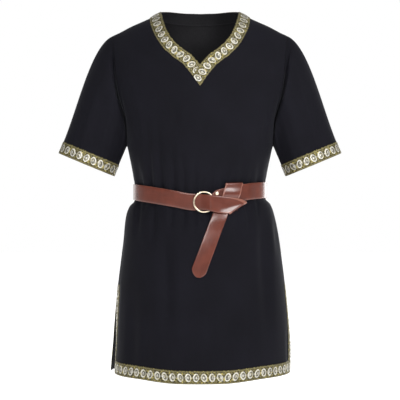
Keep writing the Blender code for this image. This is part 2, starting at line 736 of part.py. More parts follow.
def waist_strap():
    """The belt round the waist, from under the ring's left side to the flap's foot."""
    width = half_width(BELT_LEVEL)
    start = math.asin(-STRAP_START / width)
    stop = 2 * math.pi - math.asin(STRAP_END / width)
    sections = []
    for s in range(STRAP_STEPS + 1):
        turn = mix(start, stop, s / STRAP_STEPS)
        x = -width * math.sin(turn)
        face = FRONT if math.cos(turn) > 0 else BACK
        y = face * abs(depth(face, BELT_LEVEL) * math.cos(turn))
        out = Vector((x / width ** 2, y / depth(face, BELT_LEVEL) ** 2, 0)).normalized()
        lifted = face == FRONT and x > STRAP_END
        off = read(STRAP_LIFT, x, "off") if lifted else OFF_CLOTH
        height = belt_height(face, x)
        point = Vector((x, y, 0)) + out * (off + LEATHER / 2)
        section = []
        for edge in (-BELT_WIDTH / 2, BELT_WIDTH / 2):
            section.append((point + Vector((0, 0, height + edge)), out * LEATHER / 2))
        sections.append(section)
    return strap("belt_strap", sections)


FlapPlace = namedtuple("FlapPlace", "top_x top_z foot_x foot_z")
FLAP_BACK = [FlapPlace(34.7, -427.5, 34.7, -465.5), FlapPlace(30, -432, 30, -467.5)]
FLAP_FOLD = FlapPlace(24.3, -438, 24.3, -469)
FLAP_FRONT = [FlapPlace(30, -432, 29, -467.5), FlapPlace(37, -427, 34, -465.5),
              FlapPlace(44, -424.5, 37, -464)]


def belt_flap():
    """The strap's other end, folded round the ring's right side and closed by the rivet."""

    def ends(place):
        return (place.foot_x, place.foot_z), (place.top_x, place.top_z)

    sections = [laid_section(ends(place), lambda x, z: OFF_CLOTH, 1, -1) for place in FLAP_BACK]
    fold = turned_sections(ends(FLAP_FOLD), lambda x, z: OFF_FLAP, OFF_CLOTH, (-1, 0), 1, 8)
    sections += fold[::-1]
    sections += [laid_section(ends(place), lambda x, z: OFF_FLAP, 1) for place in FLAP_FRONT]
    return strap("belt_flap", sections)


Crossing = namedtuple("Crossing", "top_x top_z foot_x foot_z off")
CROSSING = [
    Crossing(-13.6, -435.0, -13.6, -473.0, 0.6), Crossing(-8, -435.3, -8, -472.3, 0.6),
    Crossing(-2, -435.6, -2, -471.6, 0.6), Crossing(2, -435.7, 2, -471.7, 1.3),
    Crossing(6, -435.9, 6, -471.9, 3.1), Crossing(10, -436.2, 10, -472.2, 5.4),
    Crossing(14, -436.5, 14, -472.5, 7.8), Crossing(18, -437.0, 18, -473.0, 9.7),
    Crossing(22, -437.6, 22, -474.0, 11.1), Crossing(26, -438.2, 25, -474.8, 11.4),
    Crossing(34, -439.2, 32, -476.2, 11.4), Crossing(43, -440.3, 39, -477.6, 11.4),
    Crossing(54, -441.6, 45.5, -478.4, 10.8), Crossing(66, -443.0, 51, -479.2, OFF_CROSSING),
    Crossing(78, -444.6, 55.5, -479.5, OFF_CROSSING), Crossing(91, -447.4, 59.5, -479.4, OFF_CROSSING),
    Crossing(100.6, -452.4, 63, -479, OFF_CROSSING),
]
FOLD_LINE_PUSH = (0.577, -0.816)


def belt_crossing():
    """The stretch that comes up through the ring, crosses over it and folds back behind the belt."""
    sections = []
    for place in CROSSING:
        ends = ((place.foot_x, place.foot_z), (place.top_x, place.top_z))

        def off_at(x, z, off=place.off):
            least = OFF_TAIL + 0.9
            return max(off - bulge(x, z), least) if off >= OFF_CROSSING else off

        sections.append(laid_section(ends, off_at, 4))
    sections += turned_sections(ends, off_at, OFF_TUCK, FOLD_LINE_PUSH, 4, 6)[1:]
    return strap("belt_crossing", sections)


Tail = namedtuple("Tail", "left_x left_z right_x right_z")
TUCK = [Tail(62.7, -478.6, 100.3, -452), Tail(62.3, -459.5, 99.3, -450.8), Tail(60.8, -443, 97.5, -434),
        Tail(59.2, -429, 96.4, -423), Tail(58.2, -421.5, 95.7, -417), Tail(57.2, -414, 95, -412.4)]
TAIL = [Tail(54.4, -420, 92.5, -420), Tail(50.2, -433, 89, -433), Tail(45.5, -448, 84, -448),
        Tail(39.8, -460, 76.8, -460), Tail(34.2, -470, 70.3, -470), Tail(28.5, -480, 63.6, -480)]
TAIL_STEPS = 10
TAIL_FOOT = Tail(-18, -603, 18.1, -603)
TAIL_TIP = [Tail(-17.6, -609, 15.6, -611), Tail(-15.6, -615, 12, -617), Tail(-11.5, -620.5, 6.5, -622),
            Tail(-7.2, -624, 0.5, -624.6)]


def tail_off(x, z):
    """Offset of the hanging end's inner face, drawn in to the skirt below the belt."""
    over_tuck = smooth((z + 520) / 38)
    least = mix(1.0, OFF_OVER_TUCK, over_tuck)
    return max(OFF_TAIL - bulge(x, z), least)


def belt_tail():
    """The end that goes up behind the belt, turns over its top edge and hangs down the front."""
    sections = []
    for place in TUCK[:-1]:
        ends = ((place.left_x, place.left_z), (place.right_x, place.right_z))
        sections.append(laid_section(ends, lambda x, z: OFF_TUCK, 3, -1))
    top = TUCK[-1]
    turn_ends = ((top.left_x, top.left_z), (top.right_x, top.right_z))
    sections += turned_sections(turn_ends, lambda x, z: OFF_TAIL, OFF_TUCK, (0, 1), 3, 6)[::-1]
    hanging = list(TAIL)
    for step in range(1, TAIL_STEPS + 1):
        t = step / TAIL_STEPS
        hanging.append(Tail(*(mix(a, b, t) for a, b in zip(TAIL[-1], TAIL_FOOT))))
    for place in hanging + TAIL_TIP:
        ends = ((place.left_x, place.left_z), (place.right_x, place.right_z))
        sections.append(laid_section(ends, tail_off, 3))
    return strap("belt_tail", sections)


def hard_piece(name, finish_name):
    """Name the primitive just added and bake its place into its mesh."""
    piece = bpy.context.object
    mesh = piece.data
    mesh.transform(piece.matrix_world)
    bpy.data.objects.remove(piece)
    return finish(name, mesh, finish_name)


def belt_ring():
    point, out, _ = on_waist(*RING_CENTRE, RING_OFF)
    yaw = math.atan2(out.x, -out.y)
    bpy.ops.mesh.primitive_torus_add(
        major_radius=RING_RADIUS * MM, minor_radius=RING_WIRE * MM, major_segments=40,
        minor_segments=8, location=point * MM, rotation=(math.pi / 2, 0, yaw))
    bpy.context.view_layer.update()
    return hard_piece("belt_ring", "pale_brass")


def belt_rivet():
    base = OFF_FLAP + LEATHER + GAP
    point, out, _ = on_waist(*RIVET, base + RIVET_HEIGHT / 2)
    yaw = math.atan2(out.x, -out.y)
    bpy.ops.mesh.primitive_cone_add(
        vertices=16, radius1=RIVET_RADIUS * MM, radius2=RIVET_RADIUS * 0.6 * MM,
        depth=RIVET_HEIGHT * MM, location=point * MM, rotation=(math.pi / 2, 0, yaw))
    bpy.context.view_layer.update()
    return hard_piece("belt_rivet", "pale_brass")


def neck_ribbons(front, front_edges, back):
    band = front_edges["band"][LEFT]
    (v_point, _, _), (neck, centre, corner) = band[0], band[1]
    pulls = [(v_point, neck), (corner, band[2][2])]
    ribbon("neck_trim_left", front, front.faces("band_-1"), pulls)
    ribbon("neck_trim_right", front, front.faces("band_1"))
    ribbon("neck_trim_back", back, back.faces("band_low", "band_high"))
    inside = CLOTH + GAP
    outer = [point - normal * inside for point, normal in zip(back.points, back.normals)]
    inner = [point - normal * (inside + RIBBON) for point, normal in zip(back.points, back.normals)]
    wall("neck_facing", outer, inner, back.faces("band_high"), "black_cloth")


def slit_ribbons(face_name, cloth, edges):
    for half, side in ((LEFT, "left"), (RIGHT, "right")):
        row, above = edges["slit"][half][1:3]
        pulls = [(row[k], above[k]) for k in (-3, -2, -1)]
        ribbon("slit_trim_%s_%s" % (face_name, side), cloth, cloth.faces("slit_%d" % half), pulls)


def build():
    for old in list(bpy.data.objects):
        bpy.data.objects.remove(old)
    front, front_edges = build_front()
    back, back_edges = build_back()
    cloth_wall("front", front)
    cloth_wall("back", back)
    for half, side in ((LEFT, "left"), (RIGHT, "right")):
        sleeve, vectors = build_sleeve(half, front, front_edges, back, back_edges)
        cloth_wall("sleeve_" + side, sleeve, inner_vectors=vectors)
        ribbon("cuff_trim_" + side, sleeve, sleeve.faces("cuff"))
    neck_ribbons(front, front_edges, back)
    for face_name, cloth, edges in (("front", front, front_edges), ("back", back, back_edges)):
        ribbon("hem_trim_" + face_name, cloth, cloth.faces("hem"))
        slit_ribbons(face_name, cloth, edges)
    waist_strap()
    belt_flap()
    belt_crossing()
    belt_tail()
    belt_ring()
    belt_rivet()


build()
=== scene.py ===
"""Belted tunic with woven ribbon trim: its cloth, ribbons, belt and the studio it is shown in.

Laid out as a Blender add-on and run as a script. Lengths in the shape tables are millimetres, turned
to metres when a mesh is made. +X is the viewer's right, the front faces -Y and +Z is up.
"""
import math
from collections import namedtuple
from functools import lru_cache

import bpy
from mathutils import Matrix, Vector
from mathutils.kdtree import KDTree


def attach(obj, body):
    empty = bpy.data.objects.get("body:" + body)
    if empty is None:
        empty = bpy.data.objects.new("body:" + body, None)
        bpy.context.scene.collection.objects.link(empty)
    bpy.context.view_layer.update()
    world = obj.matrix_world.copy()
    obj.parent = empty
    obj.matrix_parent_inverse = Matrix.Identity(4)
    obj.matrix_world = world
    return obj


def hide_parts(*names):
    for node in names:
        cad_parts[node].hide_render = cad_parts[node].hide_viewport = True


bl_info = {
    "name": "Belted tunic",
    "version": (1, 0, 0),
    "blender": (4, 5, 0),
    "location": "View3D > Sidebar > Tunic",
    "description": "Cloth, woven ribbons, leather belt and studio of a belted tunic",
    "category": "Object",
}

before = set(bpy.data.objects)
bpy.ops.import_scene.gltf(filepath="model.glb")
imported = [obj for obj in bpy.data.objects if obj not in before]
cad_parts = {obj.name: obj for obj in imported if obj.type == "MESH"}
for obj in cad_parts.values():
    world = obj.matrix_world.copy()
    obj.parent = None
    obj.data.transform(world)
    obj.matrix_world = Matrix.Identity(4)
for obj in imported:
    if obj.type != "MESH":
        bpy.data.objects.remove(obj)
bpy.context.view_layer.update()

MM = 0.001
FRONT, BACK = -1, 1
LEFT, RIGHT = -1, 1
# Wall thicknesses and the gap kept where pieces meet
CLOTH = 1.5
RIBBON = 1.0
LEATHER = 2.5
GAP = 0.3
# How full a ribbon's thickness is at its edge, and how far a ribbon's end is pulled off its neighbour
RIBBON_EDGE = 0.55
PULL = GAP * 1.3

# Driving sizes
RIBBON_WIDTH = 30.0
FACING_DEPTH = 25.0
# Place of the facing's stitching across it, in metres
FACING_STITCHES = 0.0232
SHOULDER_ROUND = 110.0
ARMPIT = -319.0
SLIT_TOP = -650.0
HEM_RIBBON_TOP = -834.0
HEM = -864.0
BELT_WIDTH = 38.0
BELT_LEVEL = -430.0
QUARTER_TURN = math.pi / 2
SLIT_RIBBON_SHARE = 0.872
# How near a level counts as on a ribbon's edge
NEAR = 0.5

# Half width and depths of the tunic's trunk, by level
Section = namedtuple("Section", "level half_width front back")
BODY = [
    Section(60, 235, 85, 82), Section(-50, 235, 90, 85), Section(-124, 233, 108, 105),
    Section(-200, 230.6, 122, 115), Section(-262, 205, 128, 114), Section(-319, 175, 130, 110),
    Section(-350, 168, 128, 104), Section(-380, 162, 123, 99), Section(-398, 159, 118, 97),
    Section(-409, 157, 115, 95), Section(-451, 157, 115, 95), Section(-463, 168, 119, 101),
    Section(-482, 176, 125, 110), Section(-508, 181.5, 130, 118), Section(-548, 187, 136, 126),
    Section(-600, 194, 140.5, 130), Section(-650, 200, 143.5, 133), Section(-710, 205, 146.5, 135.5),
    Section(-772, 209, 149, 137), Section(-834, 211.5, 150, 138), Section(-864, 212, 150, 138),
]

# Height of the shoulder line, by distance from the middle
Shoulder = namedtuple("Shoulder", "across height")
SHOULDER = [
    Shoulder(0, 60), Shoulder(30, 50), Shoulder(60, 28), Shoulder(80, 11), Shoulder(93, 1),
    Shoulder(106, -5), Shoulder(120, -14), Shoulder(140, -23), Shoulder(163, -33),
    Shoulder(193, -48.5), Shoulder(209, -56), Shoulder(221, -65), Shoulder(235, -82),
]

# Distance of the armhole seam from the middle, and how deep its crease is, by level
Armhole = namedtuple("Armhole", "level across crease")
ARMHOLE = [
    Armhole(-56, 209, 0), Armhole(-110, 203, 2), Armhole(-190, 197, 6), Armhole(-255, 187, 9),
    Armhole(-300, 178, 4), Armhole(-319, 175, 0),
]
CREASE_REACH = 40.0
# How far along the sleeve its hollow runs, as a share, at the armpit and at the shoulder
HOLLOW_RUN = (0.14, 0.06)
# Depth of the hollow in the sleeve beside the armhole seam, by how far round from the armpit
Hollow = namedtuple("Hollow", "turn depth")
ARMPIT_HOLLOW = [Hollow(0, 0), Hollow(0.03, 22), Hollow(0.08, 29), Hollow(0.15, 27), Hollow(0.24, 20),
                 Hollow(0.35, 9), Hollow(0.43, 3), Hollow(0.5, 0)]

# Front neck: where each row of the front meets the neck edge, the ribbon's outer edge and the armhole
NeckRow = namedtuple("NeckRow", "neck_x neck_z band_x band_z armhole_z")
FRONT_NECK = [
    NeckRow(0, -138, 0, -189, -214), NeckRow(10.5, -126, 16.5, -165, -194),
    NeckRow(21, -114, 39, -137, -168), NeckRow(38, -102, 59, -122, -148),
    NeckRow(55, -87, 77, -106, -128), NeckRow(68, -71, 91, -89.5, -110),
    NeckRow(77, -54, 102, -71, -94), NeckRow(83, -38, 110, -54, -81), NeckRow(87, -24, 115, -39, -71),
    NeckRow(89.5, -13, 117.5, -28, -63.5), NeckRow(91.5, -5, 119, -20, -59),
    NeckRow(93, 1, 120, -14, -56),
]
FRONT_CHEST_ROWS = [(-319, -319), (-290, -296), (-264, -274), (-238, -253), (-213, -233)]

# Back neck edge and the ribbon's outer edge on the back, from the middle to the shoulder
BackNeck = namedtuple("BackNeck", "neck_x neck_z band_x band_z")
BACK_NECK = [
    BackNeck(0, 10, 0, -23), BackNeck(18, 10, 20, -23), BackNeck(36, 9.5, 41, -22.5),
    BackNeck(53, 9, 62, -21.5), BackNeck(69, 8, 82, -20), BackNeck(82, 5.5, 100, -17.5),
    BackNeck(89, 3, 112, -15), BackNeck(93, 1, 120, -14),
]
BACK_RISE = [0.1, 0.2, 0.31, 0.42, 0.53, 0.64, 0.74, 0.82, 0.88, 0.93, 0.965, 0.987, 1.0]

# Levels of the rows below the armpit
WAIST_ROWS = [-319, -348, -377, -398, -409, -430, -451]
SKIRT_ROWS = [-463, -482, -508, -548, -600, -650, -710, -772, -834, -864]

# Height of the belt's middle at the front, by distance from the middle, and how far rows follow it
BeltLine = namedtuple("BeltLine", "across height")
BELT_LINE = [
    BeltLine(-157, -430), BeltLine(-110, -437.5), BeltLine(-60, -446), BeltLine(-16, -453.5),
    BeltLine(9, -453.5), BeltLine(50, -441.5), BeltLine(100, -431), BeltLine(157, -425),
]
DipShare = namedtuple("DipShare", "level share")
DIP_SHARE = [
    DipShare(-319, 0), DipShare(-377, 0.6), DipShare(-409, 1), DipShare(-451, 1),
    DipShare(-508, 0.6), DipShare(-600, 0),
]

# Troughs in the cloth: a line from top to bottom, half width, depth, and where along it is deepest
Fold = namedtuple("Fold", "top_x top_z foot_x foot_z reach depth peak")
FRONT_FOLDS = [
    Fold(-150, -335, -141, -440, 11, 5.0, 0.75), Fold(-128, -215, -113, -446, 13, 6.0, 0.85),
    Fold(-100, -235, -87, -452, 12, 7.0, 0.85), Fold(-66, -290, -59, -456, 12, 6.5, 0.8),
    Fold(-42, -315, -34, -462, 11, 5.5, 0.75), Fold(-14, -325, -9, -462, 11, 4.0, 0.75),
    Fold(26, -335, 24, -460, 12, 3.5, 0.75), Fold(62, -325, 58, -455, 14, 4.0, 0.75),
    Fold(102, -300, 96, -448, 15, 4.5, 0.8), Fold(140, -340, 137, -440, 11, 4.5, 0.75),
    Fold(-141, -425, -150, -560, 12, 6.0, 0.35), Fold(-106, -430, -110, -580, 13, 7.0, 0.35),
    Fold(-82, -470, -70, -860, 27, 9.0, 0.4), Fold(-62, -440, -68, -530, 11, 5.0, 0.4),
    Fold(-35, -445, -40, -535, 12, 5.5, 0.4), Fold(-10, -450, -14, -540, 11, 4.0, 0.4),
    Fold(20, -450, 24, -530, 11, 4.0, 0.4), Fold(112, -425, 122, -570, 13, 6.0, 0.35),
    Fold(145, -430, 158, -850, 24, 8.0, 0.35), Fold(88, -440, 92, -560, 12, 4.0, 0.35),
    Fold(64, -600, 70, -862, 26, 4.0, 0.7), Fold(-150, -600, -160, -862, 22, 5.0, 0.7),
]
BACK_FOLDS = [
    Fold(-138, -325, -132, -440, 13, 5.0, 0.8), Fold(-104, -250, -98, -442, 15, 7.0, 0.85),
    Fold(-62, -300, -60, -442, 14, 6.0, 0.8), Fold(-24, -270, -22, -440, 14, 6.5, 0.85),
    Fold(16, -310, 18, -440, 13, 5.0, 0.8), Fold(54, -260, 56, -442, 15, 7.0, 0.85),
    Fold(96, -310, 94, -442, 14, 5.5, 0.8), Fold(132, -330, 128, -440, 12, 4.5, 0.8),
    Fold(-128, -420, -140, -600, 15, 7.0, 0.35), Fold(-90, -420, -100, -858, 26, 9.0, 0.35),
    Fold(-46, -420, -50, -570, 15, 6.0, 0.35), Fold(-4, -420, -6, -840, 25, 8.0, 0.35),
    Fold(40, -420, 44, -580, 15, 6.5, 0.35), Fold(80, -420, 92, -858, 26, 9.0, 0.35),
    Fold(124, -420, 138, -600, 15, 6.5, 0.35),
]

# How far the hem corners of the slits stand from the side seam's line: sideways and along Y
SlitCorner = namedtuple("SlitCorner", "sideways along")
SLIT_CORNERS = {
    (FRONT, LEFT): SlitCorner(-9, 7), (FRONT, RIGHT): SlitCorner(3, 3),
    (BACK, LEFT): SlitCorner(2, 7), (BACK, RIGHT): SlitCorner(2, 3),
}

# How far the skirt's sides sway to the right of the middle, by level, and how the hem lifts to them
Sway = namedtuple("Sway", "level shift")
SWAY = [Sway(-482, 0), Sway(-560, 3.4), Sway(-780, 3.6), Sway(-864, 0)]
HEM_LIFT = 5.5

# Sleeve: the mouth's lowest and highest corner, its half depth, and troughs along the sleeve
CUFF_LOW = Vector((206, 0, -392))
CUFF_HIGH = Vector((338.5, 0, -337))
CUFF_HALF_DEPTH = 52.0
SLEEVE_SEAM_GAP = 0.4
SleeveFold = namedtuple("SleeveFold", "round_top round_foot reach depth")
SLEEVE_FOLDS = [SleeveFold(0.13, 0.10, 0.07, 6.0), SleeveFold(0.30, 0.24, 0.08, 5.0),
                SleeveFold(0.66, 0.72, 0.08, 6.0), SleeveFold(0.85, 0.88, 0.06, 5.0)]
# The sleeve laid flat: its length for the weave, and how far it runs from the armhole seam
SLEEVE_LENGTH = 220.0
SLEEVE_RUN = 200.0

# Belt layers, by how far the inner face stands off the waist
OFF_CLOTH = 0.6
OFF_TUCK = 0.9
OFF_OVER_TUCK = 3.8
OFF_TAIL = 6.7
OFF_OVER_TAIL = 7.6
OFF_CROSSING = 10.2
OFF_FLAP = 8.6
RING_OFF = 5.0
RING_CENTRE = (9.0, -453.5)
RING_RADIUS = 23.0
RING_WIRE = 2.0
# Room left in the wire's radius for its uneven skin
RING_DENT = 0.03
RIVET = (37.0, -434.0)
RIVET_RADIUS = 3.8
RIVET_HEIGHT = 1.8


def read(rows, place, column):
    """Value of a column at a place along a table's first column, on a line with no overshoot."""
    if rows[0][0] > rows[-1][0]:
        rows = rows[::-1]
    keys = [row[0] for row in rows]
    values = [getattr(row, column) for row in rows]
    place = min(max(place, keys[0]), keys[-1])
    low = max(i for i in range(len(keys) - 1) if keys[i] <= place or i == 0)
    rises = [(values[i + 1] - values[i]) / (keys[i + 1] - keys[i]) for i in range(len(keys) - 1)]

    def slope(i):
        if i == 0 or i == len(keys) - 1:
            return rises[min(i, len(rises) - 1)]
        before, after = rises[i - 1], rises[i]
        return 0.0 if before * after <= 0 else 2 * before * after / (before + after)

    step = keys[low + 1] - keys[low]
    t = (place - keys[low]) / step
    return ((2 * t ** 3 - 3 * t ** 2 + 1) * values[low] + (t ** 3 - 2 * t ** 2 + t) * step * slope(low)
            + (3 * t ** 2 - 2 * t ** 3) * values[low + 1] + (t ** 3 - t ** 2) * step * slope(low + 1))


def mix(a, b, t):
    """Value between two others: a at 0, b at 1."""
    return a + (b - a) * t


def smooth(t):
    """0 to 1 with a soft start and end."""
    t = min(max(t, 0.0), 1.0)
    return t * t * (3 - 2 * t)


def half_width(level):
    return read(BODY, level, "half_width")


def depth(face, level):
    return read(BODY, level, "front" if face == FRONT else "back")


def belt_height(face, x):
    """Height of the belt's middle line at a distance from the middle, front or back."""
    if face == FRONT:
        return read(BELT_LINE, x, "height")
    left, right = BELT_LINE[0], BELT_LINE[-1]
    return mix(left.height, right.height, (x - left.across) / (right.across - left.across))


def cloth_point(face, half, angle, level):
    """Point of the unfolded tunic: angle 0 is the middle of a panel, a quarter turn its side."""
    x = half * half_width(level) * math.sin(angle)
    dip = (belt_height(face, x) - BELT_LEVEL) * read(DIP_SHARE, level, "share")
    z = level + dip
    drop = min(max(read(SHOULDER, abs(x), "height") - z, 0.0) / SHOULDER_ROUND, 1.0)
    rounding = math.sqrt(1 - (1 - drop) ** 2)
    y = face * max(depth(face, level) * math.cos(angle) * rounding, GAP / 2)
    return Vector((x, y, z))


def fold_depth(folds, x, z):
    """How far the cloth lies inside its unfolded form at a place seen from the front."""
    total = 0.0
    for fold in folds:
        along = (z - fold.top_z) / (fold.foot_z - fold.top_z)
        if not 0 < along < 1:
            continue
        across = abs(x - mix(fold.top_x, fold.foot_x, along)) / fold.reach
        if across < 1:
            fade = smooth(min(along / fold.peak, (1 - along) / (1 - fold.peak)))
            total += fold.depth * fade * math.cos(QUARTER_TURN * across) ** 2
    return total


# Finer cells than the solids have
CELL = 5.5
PANEL_CELLS = 50
SLIT_CELLS = 8
SHARES = [SLIT_RIBBON_SHARE * (0.85 * k / PANEL_CELLS + 0.15 * (k / PANEL_CELLS) ** 2)
          for k in range(PANEL_CELLS + 1)]
SHARES += [mix(SLIT_RIBBON_SHARE, 1, k / SLIT_CELLS) for k in range(1, SLIT_CELLS + 1)]
BAND_CELLS = 8
NECK_STEPS = [BAND_CELLS, 5, 5, 5, 5, 5, 4, 4, 3, 3, 6]
CHEST_STEPS = 5
NECK_STRAIGHT = 2
BACK_BAND_STEPS = 4
# Places across the back's band: the facing's depth in even cells, then the rest of the ribbon
BACK_BAND_SHARES = [FACING_DEPTH / RIBBON_WIDTH * k / (BAND_CELLS - 1) for k in range(BAND_CELLS)]
BACK_BAND_SHARES += [1.0]
BACK_RISE_STEPS = [5] * 10 + [4, 3, 6]
SLEEVE_STEPS = 40
CUFF_STEPS = 6

# Small creases that the solids leave out, above and below the belt and at the armholes
FRONT_CREASES = [
    Fold(-139, -372, -135, -424, 6, 2.6, 0.8), Fold(-120, -352, -116, -430, 6, 2.4, 0.85),
    Fold(-101, -340, -97, -434, 5, 2.2, 0.85), Fold(-77, -362, -74, -438, 6, 2.6, 0.8),
    Fold(-52, -350, -49, -442, 6, 2.4, 0.8), Fold(-27, -374, -24, -446, 5, 2.0, 0.8),
    Fold(4, -368, 5, -446, 6, 2.0, 0.8), Fold(41, -372, 40, -440, 6, 2.0, 0.8),
    Fold(78, -360, 76, -436, 6, 2.2, 0.8), Fold(119, -366, 117, -430, 6, 2.4, 0.8),
    Fold(-128, -446, -134, -505, 6, 2.6, 0.25), Fold(-92, -450, -95, -520, 6, 2.4, 0.25),
    Fold(-48, -456, -52, -512, 6, 2.4, 0.25), Fold(-22, -458, -26, -505, 5, 2.0, 0.25),
    Fold(6, -462, 6, -510, 6, 2.0, 0.25), Fold(104, -440, 110, -500, 6, 2.4, 0.25),
    Fold(132, -438, 140, -512, 6, 2.6, 0.25), Fold(-176, -150, -150, -300, 14, 3.0, 0.5),
    Fold(-158, -205, -136, -318, 9, 2.4, 0.6), Fold(174, -160, 148, -300, 13, 2.6, 0.5),
    Fold(160, -230, 144, -322, 9, 2.0, 0.6), Fold(-20, -560, -28, -820, 30, 2.4, 0.5),
    Fold(18, -640, 26, -858, 22, 2.2, 0.6), Fold(112, -560, 120, -840, 24, 2.6, 0.5),
    Fold(-118, -640, -122, -860, 16, 2.4, 0.7), Fold(-184, -500, -192, -640, 10, 2.4, 0.4),
    Fold(176, -480, 186, -600, 9, 2.2, 0.4), Fold(-60, -205, -52, -300, 16, 1.6, 0.5),
    Fold(72, -190, 66, -300, 18, 1.4, 0.5), Fold(10, -230, 8, -330, 16, 1.2, 0.6),
    Fold(-201, -140, -181, -326, 12, 6.5, 0.68), Fold(201, -150, 181, -326, 12, 5.5, 0.66),
    Fold(-195, -590, -205, -850, 12, 6.5, 0.35), Fold(207, -720, 211, -866, 9, 4.0, 0.6),
]
BACK_CREASES = [
    Fold(-122, -360, -118, -426, 6, 2.6, 0.8), Fold(-84, -346, -80, -426, 6, 2.6, 0.85),
    Fold(-43, -356, -40, -426, 6, 2.4, 0.8), Fold(-4, -344, -3, -426, 6, 2.4, 0.85),
    Fold(36, -362, 37, -426, 6, 2.4, 0.8), Fold(75, -348, 74, -426, 6, 2.6, 0.8),
    Fold(114, -358, 111, -426, 6, 2.4, 0.8), Fold(-110, -434, -116, -505, 6, 2.6, 0.25),
    Fold(-68, -436, -72, -515, 6, 2.4, 0.25), Fold(-26, -436, -28, -500, 6, 2.2, 0.25),
    Fold(18, -436, 20, -512, 6, 2.4, 0.25), Fold(60, -436, 64, -505, 6, 2.4, 0.25),
    Fold(102, -436, 110, -510, 6, 2.6, 0.25), Fold(-176, -150, -142, -310, 15, 3.2, 0.5),
    Fold(172, -140, 140, -300, 14, 3.0, 0.5), Fold(-50, -60, -36, -230, 26, 1.8, 0.5),
    Fold(62, -70, 44, -220, 24, 1.6, 0.5), Fold(-150, -520, -164, -700, 14, 2.4, 0.4),
    Fold(22, -560, 30, -850, 22, 3.0, 0.5), Fold(150, -540, 164, -720, 14, 2.4, 0.4),
    Fold(-60, -600, -66, -860, 20, 2.6, 0.6), Fold(120, -640, 128, -860, 20, 2.4, 0.6),
]
SLEEVE_CREASES = [
    SleeveFold(0.20, 0.17, 0.035, 2.0), SleeveFold(0.40, 0.33, 0.04, 1.8),
    SleeveFold(0.57, 0.62, 0.035, 1.8), SleeveFold(0.77, 0.80, 0.035, 2.2),
    SleeveFold(0.06, 0.04, 0.025, 2.0), SleeveFold(0.94, 0.95, 0.025, 2.0),
    SleeveFold(0.10, 0.06, 0.045, 4.0),
]


def spaced(levels, step):
    """The levels with more between them, no further apart than the step."""
    places = [levels[0]]
    for low, high in zip(levels, levels[1:]):
        count = max(1, math.ceil(abs(high - low) / step))
        places += [mix(low, high, k / count) for k in range(1, count + 1)]
    return places


LEVELS = spaced(sorted(set(WAIST_ROWS + SKIRT_ROWS)), CELL)


def curve_through(rows, steps, straight=0):
    """Values between a table's rows on a smooth curve, straight before the row of that number."""
    places = [tuple(rows[0])]
    for i, count in enumerate(steps):
        before, after = rows[max(i - 1, straight)], rows[min(i + 2, len(rows) - 1)]
        a, b = rows[i:i + 2]
        for k in range(1, count + 1):
            t = k / count
            if i == len(steps) - 1:
                t = 1 - (1 - t) ** 2
            if i < straight:
                places.append(tuple(mix(p, q, t) for p, q in zip(a, b)))
                continue
            places.append(tuple(
                p + (q - p) * t * t * (3 - 2 * t) + (t - 2 * t * t + t ** 3) * (q - o) / 2
                + (t ** 3 - t * t) * (r - p) / 2 for o, p, q, r in zip(before, a, b, after)))
    return places


# Place on the seam's map of a point that is far from any seam
NO_SEAM = (0, 60)


class Sheet:
    """Cloth as points, cells by region, and each point's place on the woven cloth or ribbon.

    fixed lists the points that no fold moves. armhole, band and slit give a panel's rows, by half.
    """

    def __init__(self):
        self.points, self.normals, self.flat, self.seam, self.fixed = [], [], [], [], []
        self.middle, self.cells, self.woven = {}, {}, {}
        self.armhole, self.band, self.slit = {}, {}, {}

    def add(self, point, flat, seam=NO_SEAM):
        """Number of a new point. The halves share the points that lie on the middle line."""
        key = (round(point.y, 2), round(point.z, 2)) if abs(point.x) < 0.001 else None
        if key in self.middle:
            return self.middle[key]
        self.points.append(point)
        self.flat.append(flat)
        self.seam.append(seam)
        if key:
            self.middle[key] = len(self.points) - 1
        return len(self.points) - 1

    def add_row(self, points, half=1):
        """Numbers of a row of points from the middle to its seam, laid flat along the row."""
        lengths = running_length(points)
        return [self.add(point, (half * length, point.z), (point.z, lengths[-1] - length))
                for point, length in zip(points, lengths)]

    def cell(self, corners, region, turned=False):
        self.cells.setdefault(region, []).append(tuple(reversed(corners)) if turned else tuple(corners))

    def join(self, low, high, region, turned, beside=None):
        """Cells between two rows, with the slit ribbon's in a region of their own."""
        for k in range(len(low) - 1):
            name = beside if beside and k >= PANEL_CELLS else region
            self.cell((low[k], low[k + 1], high[k + 1], high[k]), name, turned)

    def faces(self, *names):
        return [face for name in (names or self.cells) for face in self.cells[name]]

    def find_normals(self, seam_points=()):
        self.normals = [Vector() for _ in self.points]
        for corners in self.faces():
            a, b, c = (self.points[i] for i in corners[:3])
            d = self.points[corners[3]] if len(corners) == 4 else a
            flat = (d - b).cross(a - c)
            for corner in corners:
                self.normals[corner] += flat
        for index in seam_points:
            self.normals[index].y = 0
        self.normals = [normal.normalized() for normal in self.normals]


def running_length(points):
    """Length along a line of points up to each of them."""
    lengths = [0.0]
    for a, b in zip(points, points[1:]):
        lengths.append(lengths[-1] + (b - a).length)
    return lengths


def slit_spread(face, half, share, point, level):
    """Sway the skirt's sides, lift the hem to them and move a slit's edge off the side seam's line."""
    point = point + Vector((read(SWAY, level, "shift") * smooth(share / 0.5), 0, 0))
    if level >= SLIT_TOP:
        return point
    corner = SLIT_CORNERS[face, half]
    low = smooth((SLIT_TOP - level) / (SLIT_TOP - HEM))
    amount = low * smooth((share - 0.55) / 0.45)
    lift = HEM_LIFT * low * smooth((share - 0.15) / 0.35)
    return point + Vector((half * corner.sideways * amount, face * corner.along * amount, lift))


